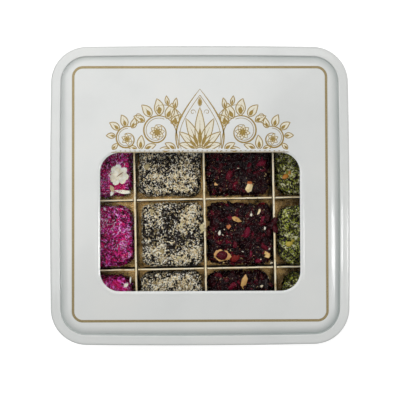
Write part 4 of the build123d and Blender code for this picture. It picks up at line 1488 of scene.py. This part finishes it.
# whole kernels that show on each pistachio sweet
pistachioKernels = (
    [(72, 60, 20, 3.4, 2.6, 1.8, 0.6)],
    [(58.8, 12.8, 30, 5.0, 3.8, 2.4, 0.25), (61.4, 15.6, 80, 2.8, 2.2, 1.8, 0.4)],
    [(61.2, -33.2, 10, 5.4, 4.2, 2.6, 0.85), (63.6, -31.2, 70, 2.6, 2.0, 1.8, 0.8)],
    [(74.0, -66.0, 20, 3.4, 2.6, 1.8, 0.6)],
)


def pistachioSweet(row):
    draw = np.random.default_rng(400 + row)
    points, triangles = jellyBlock("pistachio", pistachioSweets, row, pistachioJelly)
    for part, low, high in (("chips", 0.42, 0.95), ("dust", 0.2, 0.42)):
        places, ups = surfacePlaces(points, triangles, pistachioSweets[part], draw, topShare=1.7)
        count, name = len(places), f"pistachio_{part}_{row + 1}"
        places += ups * draw.uniform(-0.1, pistachioSweets["coat"] - 0.1, (count, 1))
        sizes = draw.uniform(low, high, (count, 1)) * draw.uniform(0.7, 1.3, (count, 3))
        tones = draw.beta(0.75, 0.85, count) + 0.24 * hills(places, 9, 27 + row)
        # painted light: the second row's bits are drawn lighter, as that row is lit more
        tones = tones + pistachioSweets["rowLightShift"][row]
        bits = strewnBits(chipShape, places, ups, sizes, draw, tilt=0.8, roughen=0.16)
        layBits(name, "pistachio", pistachioBits, chipShape, bits, tones, smooth=0)
    bits, tones = placedBits(nutShape, points, pistachioKernels[row], draw, tilt=0.15, roughen=0.12, sink=0.0)
    layBits(f"pistachio_kernels_{row + 1}", "pistachio", kernelBits, nutShape, bits, tones, smooth=35)


roseJelly = jelly("rose_starch_jelly", "2c0318", "5a0a34", rough=0.45, coat=0.3)
sesameJelly = jelly("dusted_starch_jelly", "120d09", "2e241a", rough=0.7, coat=0.0)
barberryJelly = jelly("barberry_starch_jelly", "0d0303", "200708", rough=0.5, coat=0.0)
pistachioJelly = jelly("pistachio_starch_jelly", "1c1c08", "3a3d16", rough=0.6, coat=0.1)
for sweetRow in range(4):
    roseSweet(sweetRow)
    sesameSweet(sweetRow)
    barberrySweet(sweetRow)
    pistachioSweet(sweetRow)
print("sweets made")

# loose crumbs on the dividers' cut edges and on the foil between the sweets
crumbs = {
    "perDivider": 26,
    "run": 0.9,  # the share of a divider's length that has crumbs
    "stray": 0.4,  # and the share of its thickness
    "cardLift": 0.1,
    "onFoil": 900,
    "foilReach": 88,
    "foilLift": 0.15,
    "sizes": (0.14, 0.42),
}
draw = np.random.default_rng(500)
crumbPlaces = []
for place in dividerPlaces:
    for along, across, sign, card in ((insertY, insertX, 1, longCard), (insertX, insertY, -1, crossCard)):
        share = draw.uniform(-crumbs["run"], crumbs["run"], crumbs["perDivider"])
        run = share * insert["length"] / 2
        stray = draw.uniform(-crumbs["stray"], crumbs["stray"], len(run)) * card["card"]
        stray = sign * place + stray
        ground = insertPlace + run[:, None] * along + stray[:, None] * across
        level = insert["foot"] + card["height"] + crumbs["cardLift"]
        crumbPlaces.append(np.column_stack([ground, np.full(len(run), level)]))
ground = draw.uniform(-crumbs["foilReach"], crumbs["foilReach"], (crumbs["onFoil"], 2))
level = insert["foot"] + crumbs["foilLift"]
crumbPlaces.append(np.column_stack([ground, np.full(len(ground), level)]))
crumbPlaces = np.vstack(crumbPlaces)
crumbCount = len(crumbPlaces)
crumbSizes = draw.uniform(*crumbs["sizes"], (crumbCount, 3))
bits = strewnBits(chipShape, crumbPlaces, upwards(crumbCount), crumbSizes, draw, tilt=0.5, roughen=0.2)
layBits("loose_crumbs", "sesame", nutBits, chipShape, bits, draw.uniform(0, 1, crumbCount), smooth=0)

# floor, lights and world
studio = {
    "worldStrength": 0.33,
    "keyPower": 5.15,
    "keyPlace": (-0.3, 0.38, 0.82),
    "keySize": (0.95, 0.95),
    "stripPower": 2.5,
    "stripPlace": (0.62, -0.08, 0.95),
    "stripSize": (0.5, 0.13),
    "floorGlow": 0.75,
    "floorHalf": 3,
}


def seenDirectly(made):
    # 1 for rays from the camera and for those that reach it by a reflection or through glass
    rays = addNode(made, "LightPath").outputs
    seen = rays["Is Camera Ray"]
    for kind in ("Is Glossy Ray", "Is Transmission Ray"):
        seen = addNode(made, "Math", {"operation": "MAXIMUM", 0: seen, 1: rays[kind]})
    return seen


def whiteToCamera(name, colour, glow):
    # pale paper with a tooth of 1.5 mm: lit as it is, and brightened only where it is seen
    made, place = newMaterial(name)
    tooth = addNode(made, "TexNoise", {"Scale": 1 / 0.0015, "Detail": 3.0, "Vector": place})
    tint = addNode(made, "ValToRGB", {"stops": [(0.3, colour), (0.7, "c9c9c8")], "Fac": tooth})
    paper = addNode(made, "BsdfDiffuse", {"Roughness": 0.5, "Color": tint})
    strength = {"operation": "MULTIPLY", 0: seenDirectly(made), 1: glow}
    light = addNode(made, "Emission", {"Strength": addNode(made, "Math", strength)})
    surface = addNode(made, "AddShader", {0: paper, 1: light})
    addNode(made, "OutputMaterial", {"Surface": surface})
    return made


half = studio["floorHalf"]
floorCorners = [(-half, -half, 0), (half, -half, 0), (half, half, 0), (-half, half, 0)]
floorMesh = bpy.data.meshes.new("floor")
floorMesh.from_pydata(floorCorners, [], [(0, 1, 2, 3)])
floorMesh.materials.append(whiteToCamera("pale_paper_floor", "c4c4c3", studio["floorGlow"]))
floor = bpy.data.objects.new("floor", floorMesh)
bpy.context.scene.collection.objects.link(floor)


def softbox(name, place, size, power):
    # a rectangular soft light aimed at the tin's middle
    lightData = bpy.data.lights.new(name, "AREA")
    lightData.shape = "RECTANGLE"
    lightData.size_y, lightData.size = size
    lightData.energy = power
    light = bpy.data.objects.new(name, lightData)
    x, y, z = place
    light.location = place
    light.rotation_euler = (math.atan2(math.hypot(x, y), z), 0, math.atan2(y, x) + math.pi / 2)
    bpy.context.scene.collection.objects.link(light)


softbox("key_softbox", studio["keyPlace"], studio["keySize"], studio["keyPower"])
softbox("strip_light", studio["stripPlace"], studio["stripSize"], studio["stripPower"])

world = bpy.data.worlds.new("pale_studio")
world.use_nodes = True
world.node_tree.nodes.clear()
strength = {"To Min": studio["worldStrength"], "To Max": 1.0, "Value": seenDirectly(world)}
glow = addNode(world, "Background", {"Strength": addNode(world, "MapRange", strength)})
addNode(world, "OutputWorld", {"Surface": glow})
bpy.context.scene.world = world
print("studio lit")
